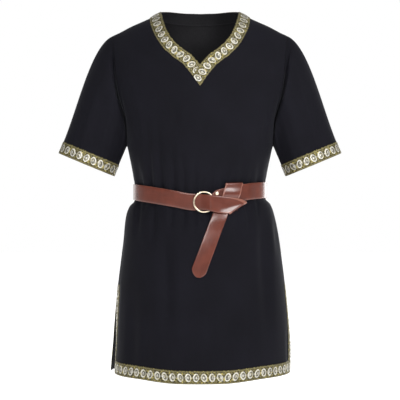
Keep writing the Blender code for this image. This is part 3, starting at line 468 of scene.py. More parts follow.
def lower_part(sheet, face, half, turned):
    """Rows from the hem to the armpit, with the hem's and the slit's ribbon as regions of their own."""
    slit_region = ("slit", half)
    hem, slit = sheet.woven.setdefault("hem", {}), sheet.woven.setdefault(slit_region, {})
    rows = sheet.slit[half] = []
    for level in LEVELS:
        points = []
        for share in SHARES:
            point = cloth_point(face, half, QUARTER_TURN * share, level)
            points.append(slit_spread(face, half, share, point, level))
        row = sheet.add_row(points, half)
        lengths = running_length(points)
        ribbon_edge = lengths[-SLIT_CELLS - 1]
        for number, length in zip(row, lengths):
            if level <= HEM_RIBBON_TOP + NEAR:
                hem[number] = (half * length, HEM_RIBBON_TOP - level)
            if level <= SLIT_TOP + NEAR:
                across = RIBBON_WIDTH * (length - ribbon_edge) / (lengths[-1] - ribbon_edge)
                slit[number] = (-level, across)
        rows.append(row)
    for low, high, top in zip(rows, rows[1:], LEVELS[1:]):
        if top <= HEM_RIBBON_TOP + NEAR:
            sheet.join(low, high, "hem", turned)
        else:
            beside = slit_region if top <= SLIT_TOP + NEAR else "cloth"
            sheet.join(low, high, "cloth", turned, beside)
    sheet.fixed += [row[-1] for row in rows]
    sheet.armhole[half] = [rows[-1][-1]]
    return rows


def press_folds(sheet, folds, face, strength):
    """Push the cloth in along its folds and along the armhole creases."""
    sheet.find_normals(sheet.fixed)
    seam = sheet.armhole[LEFT] + sheet.armhole[RIGHT]
    edge = KDTree(len(seam))
    for i, index in enumerate(seam):
        edge.insert(sheet.points[index], i)
    edge.balance()
    folds = [fold._replace(depth=fold.depth * strength) for fold in folds]
    moved = list(sheet.points)
    for index in set(range(len(moved))) - set(sheet.fixed):
        point = sheet.points[index]
        side = abs(point.y) / max(depth(face, point.z), 1)
        inward = fold_depth(folds, point.x, point.z) * smooth(side / 0.3)
        near, _, distance = edge.find(point)
        if distance < CREASE_REACH:
            closeness = math.cos(QUARTER_TURN * distance / CREASE_REACH) ** 2
            inward += read(ARMHOLE, near.z, "crease") * closeness
        moved[index] = point - sheet.normals[index] * inward
    sheet.points = moved
    sheet.find_normals(sheet.fixed)


def across_row(face, half, inner, outer, shares):
    """Points from one place to another seen from the front, along the shoulder line near the top."""
    (inner_x, inner_z), (outer_x, outer_z) = inner, outer
    inner_top, outer_top = (read(SHOULDER, x, "height") for x in (inner_x, outer_x))
    closeness = 1 - min((inner_top - inner_z + outer_top - outer_z) / 2 / SHOULDER_ROUND, 1.0)
    inner_angle = math.asin(min(inner_x / half_width(inner_z), 1.0))
    outer_angle = math.asin(min(outer_x / half_width(outer_z), 1.0))
    points = []
    for t in shares:
        z, angle = mix(inner_z, outer_z, t), mix(inner_angle, outer_angle, t)
        x = half_width(z) * math.sin(angle)
        z += (read(SHOULDER, x, "height") - mix(inner_top, outer_top, t)) * closeness
        points.append(place_on(face, half, x, z))
    return points


def place_on(face, half, x, z):
    """Point of the unfolded tunic at a place seen from the front, above the armpit."""
    return cloth_point(face, half, math.asin(min(abs(x) / half_width(z), 1.0)), z)


def weave_along(sheet, rows, region, half=1):
    """Lay the ribbon's pattern along a band of rows that each run across it.

    Gives the first row's middle, the way ahead, the row's span and its place along the pattern.
    """
    middles = [(sheet.points[row[0]] + sheet.points[row[-1]]) / 2 for row in rows]
    lengths = running_length(middles)
    places = sheet.woven.setdefault(region, {})
    first = None
    for n, row in enumerate(rows):
        ahead = (middles[min(n + 1, len(rows) - 1)] - middles[max(n - 1, 0)]).normalized()
        span = sheet.points[row[-1]] - sheet.points[row[0]]
        for k, number in enumerate(row):
            t = k / (len(row) - 1)
            places[number] = (half * (lengths[n] + (t - 0.5) * span.dot(ahead)), RIBBON_WIDTH * t)
        first = first or (middles[n], ahead, span, lengths[n])
    return first


def weave_flat(sheet, numbers, region, first_row):
    """Lay the pattern on the V's end of a ribbon as a flat continuation of its first row."""
    middle, ahead, span, start = first_row
    aside = span - ahead * span.dot(ahead)
    for number in numbers:
        step = sheet.points[number] - middle
        sheet.woven[region][number] = (
            start + step.dot(ahead), RIBBON_WIDTH * (0.5 + step.dot(aside) / aside.length_squared))


def corner_place(t, r):
    """Place in the first stretch of the left band, with the line between the ribbons kept straight."""
    (point, tip), (neck, corner) = (
        (Vector((row.neck_x, row.neck_z)), Vector((row.band_x, row.band_z))) for row in FRONT_NECK[:2])
    if t <= r:
        return point + (neck - point) * r + (corner - neck) * t
    return point + (tip - point) * t + (corner - tip) * r


def front_starts(neck_rows):
    """Inner end of each row above the armpit, and the level where the row meets the armhole."""
    knots = FRONT_CHEST_ROWS + [(FRONT_NECK[0].band_z, FRONT_NECK[0].armhole_z)]
    starts = [((0.0, mix(a[0], b[0], k / CHEST_STEPS)), mix(a[1], b[1], k / CHEST_STEPS))
              for a, b in zip(knots, knots[1:]) for k in range(1, CHEST_STEPS + 1)]
    return starts + [((band_x, band_z), outer_z) for _, _, band_x, band_z, outer_z in neck_rows[1:]]


def front_band(sheet, half, neck_rows, edge):
    """Half of the V-neck's band, from the neck's edge out to the panel's edge points.

    The left half's first cells go to the ribbon of the right half, whose end lies over the left one.
    """
    left, right = ("band", LEFT), ("band", RIGHT)
    shares = [k / BAND_CELLS for k in range(BAND_CELLS + 1)]
    band = []
    for number, (neck_x, neck_z, band_x, band_z, _) in enumerate(neck_rows):
        if number > BAND_CELLS:
            points = across_row(FRONT, half, (neck_x, neck_z), (band_x, band_z), shares)
        else:
            places = [corner_place(t, number / BAND_CELLS) if half == LEFT else
                      Vector((mix(neck_x, band_x, t), mix(neck_z, band_z, t))) for t in shares]
            points = [place_on(FRONT, half, x, z) for x, z in places]
        band.append([sheet.add(point, (point.x, point.z)) for point in points[:-1]] + [edge[number]])
    for number, (low, high) in enumerate(zip(band, band[1:])):
        for k in range(BAND_CELLS):
            corners = (low[k], low[k + 1], high[k + 1], high[k])
            if half == LEFT and k == number:
                sheet.cell(corners[:3], right, True)
                sheet.cell((corners[0], corners[2], corners[3]), left, True)
            else:
                sheet.cell(corners, right if half == RIGHT or k > number else left, half == LEFT)
    sheet.fixed += band[-1][:-1]
    sheet.band[half] = band


@lru_cache(maxsize=None)
def front_panel(strength):
    """The front panel, with the V-neck's band as cells of its own."""
    sheet = Sheet()
    neck_rows = curve_through(FRONT_NECK, NECK_STEPS, NECK_STRAIGHT)
    for half in (LEFT, RIGHT):
        row = lower_part(sheet, FRONT, half, half == LEFT)[-1]
        edge = []
        for inner, outer_z in front_starts(neck_rows):
            outer = (read(ARMHOLE, outer_z, "across"), outer_z)
            previous, row = row, sheet.add_row(across_row(FRONT, half, inner, outer, SHARES), half)
            sheet.join(previous, row, "cloth", half == LEFT)
            sheet.armhole[half].append(row[-1])
            edge.append(row[0])
        sheet.fixed += row
        front_band(sheet, half, neck_rows, edge[-len(neck_rows):])
    press_folds(sheet, FRONT_FOLDS + FRONT_CREASES, FRONT, strength)
    for half, first in ((LEFT, BAND_CELLS), (RIGHT, 0)):
        region = ("band", half)
        first_row = weave_along(sheet, sheet.band[half][first:], region)
        ends = {i for face in sheet.faces(region) for i in face} - set(sheet.woven[region])
        weave_flat(sheet, ends, region, first_row)
    return sheet


def back_top(neck):
    """Places along the back's top, from the middle under the neck's band and along the shoulder."""
    top = [(band_x, band_z) for _, _, band_x, band_z in neck]
    rest = len(SHARES) - len(neck)
    for k in range(1, rest + 1):
        x = mix(BACK_NECK[-1].band_x, ARMHOLE[0].across, k / rest)
        top.append((x, read(SHOULDER, x, "height")))
    return top


def back_rises():
    """Share of the way from the armpit to the top at which each row of the back stands."""
    rises = []
    for count, low, high in zip(BACK_RISE_STEPS, [0.0] + BACK_RISE, BACK_RISE):
        last = high == BACK_RISE[-1]
        rises += [mix(low, high, 1 - (1 - k / count) ** 2 if last else k / count)
                  for k in range(1, count + 1)]
    return rises


def back_band(sheet, half, neck, edge):
    """Half of the back neck's band, from the neck's edge down to the panel's edge points."""
    band = []
    for k, (neck_x, neck_z, band_x, band_z) in enumerate(neck):
        close = max(0.0, 1 - (len(neck) - 1 - k) / BACK_BAND_STEPS)
        column = []
        for t in BACK_BAND_SHARES[:-1]:
            x, z = mix(neck_x, band_x, t), mix(neck_z, band_z, t)
            z += (read(SHOULDER, x, "height") - z) * close
            column.append(sheet.add(place_on(BACK, half, x, z), (half * x, z)))
        band.append(column + [edge[k]])
    for near, far in zip(band, band[1:]):
        for k in range(BAND_CELLS):
            corners = (near[k + 1], far[k + 1], far[k], near[k])
            sheet.cell(corners, "band_low" if k == BAND_CELLS - 1 else "band_high", half == RIGHT)
    sheet.fixed += band[-1][:-1]
    sheet.band[half] = band


@lru_cache(maxsize=None)
def back_panel(strength):
    """The back panel, with the neck band along its top."""
    sheet = Sheet()
    neck = curve_through(BACK_NECK, [BACK_BAND_STEPS] * (len(BACK_NECK) - 1))
    top = back_top(neck)
    for half in (LEFT, RIGHT):
        row = lower_part(sheet, BACK, half, half == RIGHT)[-1]
        base = [abs(sheet.points[i].x) for i in row]
        for rise in back_rises():
            outer_x = read(ARMHOLE, mix(ARMPIT, top[-1][1], rise), "across")
            scale = outer_x / mix(base[-1], top[-1][0], rise)
            points = []
            for k, (top_x, top_z) in enumerate(top):
                x = min(mix(base[k], top_x, rise) * (mix(scale, 1.0, rise) if k else 1.0), outer_x)
                points.append(place_on(BACK, half, x, mix(ARMPIT, top_z, rise)))
            previous, row = row, sheet.add_row(points, half)
            sheet.join(previous, row, "cloth", half == RIGHT)
            sheet.armhole[half].append(row[-1])
        sheet.fixed += row[len(neck) - 1:]
        back_band(sheet, half, neck, row)
    press_folds(sheet, BACK_FOLDS + BACK_CREASES, BACK, strength)
    for half in (LEFT, RIGHT):
        weave_along(sheet, sheet.band[half], "band", half)
        for column in sheet.band[half]:
            for number, t in zip(column, BACK_BAND_SHARES):
                sheet.woven["band"][number] = (sheet.woven["band"][number][0], RIBBON_WIDTH * t)
    return sheet


def sleeve_curve(start, end, axis, round_angle, t):
    """Point on the smooth line from an armhole point to the cuff."""
    length = (end - start).length
    rise = (1 - math.cos(round_angle)) / 2
    leave = Vector((mix(0.39, 0.92, rise), -0.45 * math.sin(round_angle), mix(-0.92, -0.39, rise)))
    leave = leave.normalized() * length * 0.6
    arrive = axis * length
    return (start * (2 * t ** 3 - 3 * t ** 2 + 1) + leave * (t ** 3 - 2 * t ** 2 + t)
            + end * (3 * t ** 2 - 2 * t ** 3) + arrive * (t ** 3 - t ** 2))


def sleeve_trough(turn, t):
    """How deep the sleeve's folds are at a place round and along it."""
    total = 0.0
    for fold in SLEEVE_FOLDS + SLEEVE_CREASES:
        across = abs(turn - mix(fold.round_top, fold.round_foot, t)) / fold.reach
        if across < 1:
            total += fold.depth * math.cos(QUARTER_TURN * across) ** 2
    return total


def armhole_ring(half, strength):
    """Points round an armhole, up the front and down the back, and the panels' inward directions there.

    Also gives how far round from the armpit each point is, as a share, and the girth.
    """
    lines, inward, lengths = [], [], []
    for panel in (front_panel(strength), back_panel(strength)):
        lines.append([panel.points[i] for i in panel.armhole[half]])
        inward.append([-panel.normals[i] for i in panel.armhole[half]])
        lengths.append(running_length(lines[-1]))
    low, high = lines[0][0].copy(), lines[0][-1].copy()
    low.y = high.y = 0
    ring = [low] + lines[0][1:-1] + [high] + lines[1][-2:0:-1]
    turns = [length / lengths[0][-1] / 2 for length in lengths[0]]
    turns += [1 - length / lengths[1][-1] / 2 for length in lengths[1][-2:0:-1]]
    return ring, inward[0] + inward[1][-2:0:-1], turns, lengths[0][-1] + lengths[1][-1]


def sleeve_point(start, turn, t, cuff, strength):
    """Point of the right sleeve: t runs from its seam to the cuff's ribbon, cuff on to the mouth."""
    angle = 2 * math.pi * turn
    middle, reach = (CUFF_LOW + CUFF_HIGH) / 2, (CUFF_HIGH - CUFF_LOW) / 2
    axis = Vector((reach.z, 0, -reach.x)).normalized()
    end = middle - reach * math.cos(angle) - axis * RIBBON_WIDTH
    end.y -= CUFF_HALF_DEPTH * math.sin(angle)
    point = sleeve_curve(start, end, axis, angle, t)
    point.x += SLEEVE_SEAM_GAP * (1 - t)
    from_armpit = min(turn, 1 - turn)
    hollow = read(ARMPIT_HOLLOW, from_armpit, "depth")
    hollow *= math.sin(math.pi * min(t / mix(*HOLLOW_RUN, from_armpit * 2), 1.0)) ** 2
    fade = math.sin(math.pi * 0.75 * min(t, 0.9))
    dent = (sleeve_trough(turn, t) * fade + hollow) * strength
    point.y += math.copysign(dent, math.sin(angle)) * (1 - cuff)
    return point + axis * RIBBON_WIDTH * cuff


@lru_cache(maxsize=None)
def sleeve_tube(half, strength):
    """A sleeve as a tube from the armhole's own points to the cuff's mouth.

    Also gives its wall's vectors and the lengths round its armhole and its mouth.
    """
    ring, inward, turns, girth = armhole_ring(half, strength)
    sheet = Sheet()
    rings = []
    for step in range(SLEEVE_STEPS + CUFF_STEPS + 1):
        t, cuff = min(step / SLEEVE_STEPS, 1.0), max(step - SLEEVE_STEPS, 0) / CUFF_STEPS
        numbers = []
        for start, turn in zip(ring, turns):
            start = Vector((start.x * half, start.y, start.z))
            point = sleeve_point(start, turn, t, cuff, strength)
            flat = (turn * girth, -SLEEVE_LENGTH * t - RIBBON_WIDTH * cuff)
            numbers.append(sheet.add(Vector((point.x * half, point.y, point.z)), flat,
                                     (turn * girth, SLEEVE_RUN * t)))
        rings.append(numbers)
    for number, (near, far) in enumerate(zip(rings, rings[1:])):
        region = "cuff" if number >= SLEEVE_STEPS else "cloth"
        for k, after in enumerate([*range(1, len(ring)), 0]):
            sheet.cell((near[k], far[k], far[after], near[after]), region, half == LEFT)
    mouth_lengths = running_length([sheet.points[i] for i in rings[-1] + rings[-1][:1]])
    sheet.woven["cuff"] = {}
    for number in range(SLEEVE_STEPS, len(rings)):
        across = RIBBON_WIDTH * (number - SLEEVE_STEPS) / CUFF_STEPS
        for point, length in zip(rings[number], mouth_lengths):
            sheet.woven["cuff"][point] = (length / mouth_lengths[-1], across)
    sheet.find_normals()
    vectors = [-normal * CLOTH for normal in sheet.normals]
    for k, panel_inward in enumerate(inward):
        if half * vectors[k].x < half * panel_inward.x * CLOTH:
            vectors[k] = panel_inward * CLOTH
    return sheet, vectors, girth, mouth_lengths[-1]


def free_edges(faces):
    """The sides of faces that no other face shares."""
    edges = {pair for face in faces for pair in zip(face, face[1:] + face[:1])}
    return [(a, b) for a, b in edges if (b, a) not in edges]


def wall(name, outer, inner, faces, places, wrap=0.0, seam=None):
    """A closed wall between matching outer and inner points, rimmed along its free edges.

    places gives each point's place on the flat cloth in millimetres, and wrap the length after which
    a tube's pattern comes round to its start.
    """
    used = sorted({corner for face in faces for corner in face})
    number = {corner: i for i, corner in enumerate(used)}
    count = len(used)
    loops = [tuple(number[corner] for corner in face) for face in faces]
    rims = [(b, a, a + count, b + count) for a, b in sorted(free_edges(loops))]
    backs = [tuple(corner + count for corner in reversed(loop)) for loop in loops]
    mesh = bpy.data.meshes.new(name)
    points = [side[i] * MM for side in (outer, inner) for i in used]
    mesh.from_pydata(points, [], loops + backs + rims)
    lay_flat(mesh, "woven", [places[i] for i in used], wrap)
    if seam:
        lay_flat(mesh, "seam", [seam[i] for i in used], wrap)
    mesh.shade_smooth()
    mesh.set_sharp_from_angle(angle=math.radians(50))
    piece = bpy.data.objects.new(name, mesh)
    bpy.context.scene.collection.objects.link(piece)
    return piece


def lay_flat(mesh, layer_name, places, wrap):
    """UV map in metres from the points' places on the flat cloth."""
    layer = mesh.uv_layers.new(name=layer_name)
    values = []
    for face in mesh.polygons:
        here = [places[corner % len(places)] for corner in face.vertices]
        far = max(place[0] for place in here)
        for across, along in here:
            if wrap and far - across > wrap / 2:
                across += wrap
            values += [across * MM, along * MM]
    layer.data.foreach_set("uv", values)


def cloth_wall(name, sheet, vectors=None, wrap=0.0):
    vectors = vectors or [-normal * CLOTH for normal in sheet.normals]
    inner = [point + vector for point, vector in zip(sheet.points, vectors)]
    return wall(name, sheet.points, inner, sheet.faces(), sheet.flat, wrap, sheet.seam)


def ribbon_wall(name, sheet, faces, places, wrap=0.0, pulled=()):
    """Ribbon on a cloth's outer side, its long edges turned down a little to the cloth."""
    edge = {corner for pair in free_edges(faces) for corner in pair}
    low, high = [], []
    for index, (point, normal) in enumerate(zip(sheet.points, sheet.normals)):
        thick = RIBBON * (RIBBON_EDGE if index in edge else 1.0)
        low.append(point + normal * GAP)
        high.append(point + normal * (GAP + thick))
    for moved, towards in pulled:
        step = (sheet.points[towards] - sheet.points[moved]).normalized() * PULL
        low[moved] = low[moved] + step
        high[moved] = high[moved] + step
    return wall(name, high, low, faces, places, wrap)


def waist_frame(x, z):
    """Level, angle, outward direction and sideways direction of the front cloth seen at a place."""
    share = 1.0
    level = z
    for _ in range(6):
        share = read(DIP_SHARE, level, "share")
        level = z - (belt_height(FRONT, x) - BELT_LEVEL) * share
    width = half_width(level)
    angle = math.asin(min(max(x / width, -1), 1))
    out = Vector((math.sin(angle) / width, -math.cos(angle) / depth(FRONT, level), 0)).normalized()
    return level, angle, out, Vector((-out.y, out.x, 0))


def on_waist(x, z, off):
    """Point in front of the unfolded cloth, its outward direction and its sideways direction."""
    level, angle, out, aside = waist_frame(x, z)
    point = Vector((x, -depth(FRONT, level) * math.cos(angle), z))
    return point + out * off, out, aside


def bulge(x, z):
    """How far the cloth at a place stands out past the waist that the belt draws in."""
    level, angle, out, _ = waist_frame(x, z)
    waist = Vector((half_width(BELT_LEVEL) * math.sin(angle),
                    -depth(FRONT, BELT_LEVEL) * math.cos(angle), 0))
    here = Vector((half_width(level) * math.sin(angle), -depth(FRONT, level) * math.cos(angle), 0))
    return max((here - waist).dot(out), 0.0)


# A strap narrower than this is its rounded tip, whose grain starts this far in
TIP_WIDTH = 30
TIP_EDGE = 2
# Cross-section of a strap: places across it and how full its thickness is there
EDGE_SHARES = [0.0, 0.012, 0.035, 0.08, 0.2, 0.35, 0.5, 0.65, 0.8, 0.92, 0.965, 0.988, 1.0]
EDGE_FULL = [0.3, 0.66, 0.88, 1.0, 1.0, 1.0, 1.0, 1.0, 1.0, 1.0, 0.88, 0.66, 0.3]


def strap_mesh(name, sections):
    """A strap as a closed wall through sections of middle points with half-thickness vectors."""
    across = len(sections[0])
    outer, inner = ([middle + half * full * side for section in sections
                     for (middle, half), full in zip(section, EDGE_FULL)] for side in (1, -1))
    lengths = running_length([section[across // 2][0] for section in sections])
    places = {}
    faces = []
    for s, section in enumerate(sections):
        width = (section[-1][0] - section[0][0]).length
        if width <= TIP_WIDTH:
            width = BELT_WIDTH - 2 * TIP_EDGE
        for k, share in enumerate(EDGE_SHARES):
            places[s * across + k] = (lengths[s], share * width + (BELT_WIDTH - width) / 2)
    for s in range(len(sections) - 1):
        for a in range(s * across, (s + 1) * across - 1):
            faces.append((a, a + across, a + across + 1, a + 1))
    a, b, c = (outer[corner] for corner in faces[EDGE_FULL.index(1.0)][:3])
    if (b - a).cross(c - a).dot(sections[0][EDGE_FULL.index(1.0)][1]) < 0:
        faces = [tuple(reversed(face)) for face in faces]
    return wall(name, outer, inner, faces, places)


def laid_section(ends, off_at, turned=1):
    """Section between two places (x, z), its inner face at the offset that off_at gives.

    turned is -1 where the strap shows its other side, behind a fold.
    """
    (x0, z0), (x1, z1) = ends
    section = []
    for share in EDGE_SHARES:
        x, z = mix(x0, x1, share), mix(z0, z1, share)
        point, out, _ = on_waist(x, z, off_at(x, z) + LEATHER / 2)
        section.append((point, out * turned * LEATHER / 2))
    return section


def turned_sections(ends, off_at, low, push, steps):
    """Sections round a fold line, from the front layer's offset to the back layer's."""
    (x0, z0), (x1, z1) = ends
    sections = []
    for s in range(steps + 1):
        angle = math.pi * s / steps
        section = []
        for share in EDGE_SHARES:
            x, z = mix(x0, x1, share), mix(z0, z1, share)
            high = off_at(x, z)
            radius = (high - low) / 2
            point, out, aside = on_waist(x, z, (high + low) / 2 + LEATHER / 2)
            side = aside * push[0] + Vector((0, 0, push[1]))
            point = point + out * radius * math.cos(angle) + side * radius * math.sin(angle)
            section.append((point, (out * math.cos(angle) + side * math.sin(angle)) * LEATHER / 2))
        sections.append(section)
    return sections


Lift = namedtuple("Lift", "across off")
STRAP_LIFT = [Lift(35, OFF_CLOTH), Lift(52, OFF_OVER_TUCK), Lift(106, OFF_OVER_TUCK),
              Lift(128, OFF_CLOTH)]
STRAP_START = -14.0
STRAP_END = 35.0
STRAP_STEPS = 240


def waist_strap():
    """The belt round the waist, from under the ring's left side to the flap's foot."""
    width = half_width(BELT_LEVEL)
    start = math.asin(-STRAP_START / width)
    stop = 2 * math.pi - math.asin(STRAP_END / width)
    sections = []
    for s in range(STRAP_STEPS + 1):
        turn = mix(start, stop, s / STRAP_STEPS)
        x = -width * math.sin(turn)
        face = FRONT if math.cos(turn) > 0 else BACK
        y = face * abs(depth(face, BELT_LEVEL) * math.cos(turn))
        out = Vector((x / width ** 2, y / depth(face, BELT_LEVEL) ** 2, 0)).normalized()
        lifted = face == FRONT and x > STRAP_END
        off = read(STRAP_LIFT, x, "off") if lifted else OFF_CLOTH
        point = Vector((x, y, belt_height(face, x))) + out * (off + LEATHER / 2)
        sections.append([(point + Vector((0, 0, (share - 0.5) * BELT_WIDTH)), out * LEATHER / 2)
                         for share in EDGE_SHARES])
    return strap_mesh("belt_strap_leather", sections)


FlapPlace = namedtuple("FlapPlace", "top_x top_z foot_x foot_z")
FLAP_BACK = [FlapPlace(34.7, -427.5, 34.7, -465.5), FlapPlace(30, -432, 30, -467.5)]
FLAP_FOLD = FlapPlace(24.3, -438, 24.3, -469)
FLAP_FRONT = [FlapPlace(30, -432, 29, -467.5), FlapPlace(37, -427, 34, -465.5),
              FlapPlace(44, -424.5, 37, -464)]


def belt_flap():
    """The strap's other end, folded round the ring's right side and closed by the rivet."""

    def ends(place):
        return (place.foot_x, place.foot_z), (place.top_x, place.top_z)

    sections = [laid_section(ends(place), lambda x, z: OFF_CLOTH, -1) for place in FLAP_BACK]
    fold = turned_sections(ends(FLAP_FOLD), lambda x, z: OFF_FLAP, OFF_CLOTH, (-1, 0), 16)
    sections += fold[::-1]
    front = curve_through(FLAP_FRONT, [4, 5])
    sections += [laid_section(ends(FlapPlace(*place)), lambda x, z: OFF_FLAP) for place in front]
    return strap_mesh("belt_flap_leather", sections)


Crossing = namedtuple("Crossing", "top_x top_z foot_x foot_z off")
CROSSING = [
    Crossing(-13.6, -435.0, -13.6, -473.0, 0.6), Crossing(-8, -435.3, -8, -472.3, 0.6),
    Crossing(-2, -435.6, -2, -471.6, 0.6), Crossing(2, -435.7, 2, -471.7, 1.3),
    Crossing(6, -435.9, 6, -471.9, 3.1), Crossing(10, -436.2, 10, -472.2, 5.4),
    Crossing(14, -436.5, 14, -472.5, 7.8), Crossing(18, -437.0, 18, -473.0, 9.7),
    Crossing(22, -437.6, 22, -474.0, 11.1), Crossing(26, -438.2, 25, -474.8, 11.4),
    Crossing(34, -439.2, 32, -476.2, 11.4), Crossing(43, -440.3, 39, -477.6, 11.3),
    Crossing(54, -441.6, 45.5, -478.4, 11.1), Crossing(66, -443.0, 51, -479.2, 10.8),
    Crossing(78, -444.6, 55.5, -479.5, 10.5), Crossing(91, -447.4, 59.5, -479.4, 10.3),
    Crossing(100.6, -452.4, 63, -479, OFF_CROSSING),
]
FOLD_LINE_PUSH = (0.577, -0.816)


def softer_of(a, b, turn=2.0):
    """The larger of two values, with a soft turn from the one to the other."""
    return (a + b + math.hypot(a - b, turn)) / 2


def pressed_out(x, z):
    """How far the hanging end under it presses the crossing's lower half out."""
    return 2.4 * smooth((-444 - z) / 33) * math.sin(math.pi * min(max((x + 2) / 70, 0.0), 1.0)) ** 2


def belt_crossing():
    """The stretch that comes up through the ring, crosses over it and folds back behind the belt."""
    sections = []
    for top_x, top_z, foot_x, foot_z, off in curve_through(CROSSING, [4] * (len(CROSSING) - 1)):

        def off_at(x, z, off=off):
            if off >= OFF_CROSSING:
                off = softer_of(off - bulge(x, z), OFF_OVER_TAIL)
            return off + pressed_out(x, z)

        ends = ((foot_x, foot_z), (top_x, top_z))
        sections.append(laid_section(ends, off_at))
    sections += turned_sections(ends, off_at, OFF_TUCK, FOLD_LINE_PUSH, 14)[1:]
    return strap_mesh("belt_crossing_leather", sections)


Tail = namedtuple("Tail", "left_x left_z right_x right_z")
TUCK = [Tail(62.7, -478.6, 100.3, -452), Tail(62.3, -459.5, 99.3, -450.8), Tail(60.8, -443, 97.5, -434),
        Tail(59.2, -429, 96.4, -423), Tail(58.2, -421.5, 95.7, -417), Tail(57.2, -414, 95, -412.4)]
TAIL = [Tail(54.4, -420, 92.5, -420), Tail(50.2, -433, 89, -433), Tail(45.5, -448, 84, -448),
        Tail(39.8, -460, 76.8, -460), Tail(34.2, -470, 70.3, -470), Tail(28.5, -480, 63.6, -480)]
TAIL_STEPS = 10
TAIL_FOOT = Tail(-18, -603, 18.1, -603)
TAIL_TIP = [Tail(-17.6, -609, 15.6, -611), Tail(-15.6, -615, 12, -617), Tail(-11.5, -620.5, 6.5, -622),
            Tail(-7.2, -624, 0.5, -624.6)]


def tail_off(x, z):
    """Offset of the hanging end's inner face: drawn in to the skirt, swollen over the belt."""
    least = mix(1.0, OFF_OVER_TUCK, smooth((z + 520) / 38))
    swell = 3.6 * math.sin(math.pi * min(max((z + 455) / 40, 0.0), 1.0)) ** 2
    return max(OFF_TAIL - bulge(x, z), least) + swell


def belt_tail():
    """The end that goes up behind the belt, turns over its top edge and hangs down the front."""

    def ends(place):
        return (place[0], place[1]), (place[2], place[3])

    tuck = curve_through(TUCK[:-1], [4] * (len(TUCK) - 2))
    sections = [laid_section(ends(place), lambda x, z: OFF_TUCK, -1) for place in tuck]
    sections += turned_sections(ends(TUCK[-1]), lambda x, z: OFF_TAIL, OFF_TUCK, (0, 1), 16)[::-1]
    hanging = list(TAIL)
    for step in range(1, TAIL_STEPS + 1):
        hanging.append(Tail(*(mix(a, b, step / TAIL_STEPS) for a, b in zip(TAIL[-1], TAIL_FOOT))))
    hanging += TAIL_TIP
    places = curve_through(hanging, [3] * (len(hanging) - 1))
    sections += [laid_section(ends(place), tail_off) for place in places]
    return strap_mesh("belt_tail_leather", sections)


def placed(mesh, spot, off):
    """Turn a mesh made lying in XY to face out from the waist at a spot, and set it there."""
    point, out, _ = on_waist(*spot, off)
    yaw = math.atan2(out.x, -out.y)
    mesh.transform(Matrix.Translation(point * MM) @ Matrix.Rotation(yaw, 4, "Z")
                   @ Matrix.Rotation(QUARTER_TURN, 4, "X"))


def ring_piece():
    """The ring: a drawn wire bent round, slightly uneven from the hammer."""
    bpy.ops.object.select_all(action="DESELECT")
    bpy.ops.mesh.primitive_torus_add(
        major_radius=RING_RADIUS * MM, minor_radius=(RING_WIRE - RING_DENT) * MM,
        major_segments=96, minor_segments=16)
    ring = bpy.context.object
    ring.name = "belt_ring_wire"
    bpy.ops.object.mode_set(mode="EDIT")
    bpy.ops.mesh.select_all(action="SELECT")
    bpy.ops.transform.vertex_random(offset=0.00006, uniform=0.3, normal=0.7, seed=4)
    bpy.ops.mesh.vertices_smooth(factor=0.5, repeat=2)
    bpy.ops.object.mode_set(mode="OBJECT")
    bpy.ops.object.shade_smooth()
    placed(ring.data, RING_CENTRE, RING_OFF)
    return ring


def rivet_piece():
    """The rivet: a low domed head with a rim."""
    bpy.ops.object.select_all(action="DESELECT")
    height = RIVET_HEIGHT * MM
    bpy.ops.mesh.primitive_cylinder_add(vertices=32, radius=RIVET_RADIUS * MM, depth=height * 0.5,
                                        location=(0, 0, -height * 0.25))
    rivet = bpy.context.object
    rivet.name = "belt_rivet_head"
    bpy.ops.object.transform_apply(location=True)
    bpy.ops.object.mode_set(mode="EDIT")
    bpy.ops.mesh.select_mode(type="FACE")
    bpy.ops.mesh.select_all(action="DESELECT")
    bpy.ops.object.mode_set(mode="OBJECT")
    for face in rivet.data.polygons:
        face.select = face.normal.z > 0.9
    bpy.ops.object.mode_set(mode="EDIT")
    for thickness, rise in ((0.5, 0.0), (0.5, 0.45), (0.9, 0.3), (1.1, 0.13)):
        bpy.ops.mesh.inset(thickness=thickness * MM, depth=rise * MM)
    bpy.ops.object.mode_set(mode="OBJECT")
    edge = rivet.modifiers.new("edge", "BEVEL")
    edge.width, edge.segments = 0.15 * MM, 2
    edge.limit_method, edge.angle_limit = "ANGLE", math.radians(50)
    bpy.ops.object.modifier_apply(modifier="edge")
    bpy.ops.object.shade_smooth_by_angle(angle=math.radians(40))
    placed(rivet.data, RIVET, OFF_FLAP + LEATHER + GAP + RIVET_HEIGHT / 2)
    return rivet


class Value:
    """Output of a shader node, reckoned with like a number."""

    def __init__(self, finish, socket):
        self.finish, self.socket = finish, socket

    def __add__(self, other):
        return self.finish.math("ADD", self, other)

    def __sub__(self, other):
        return self.finish.math("SUBTRACT", self, other)

    def __rsub__(self, other):
        return self.finish.math("SUBTRACT", other, self)

    def __mul__(self, other):
        return self.finish.math("MULTIPLY", self, other)

    def __truediv__(self, other):
        return self.finish.math("DIVIDE", self, other)

    def __abs__(self):
        return self.finish.math("ABSOLUTE", self)


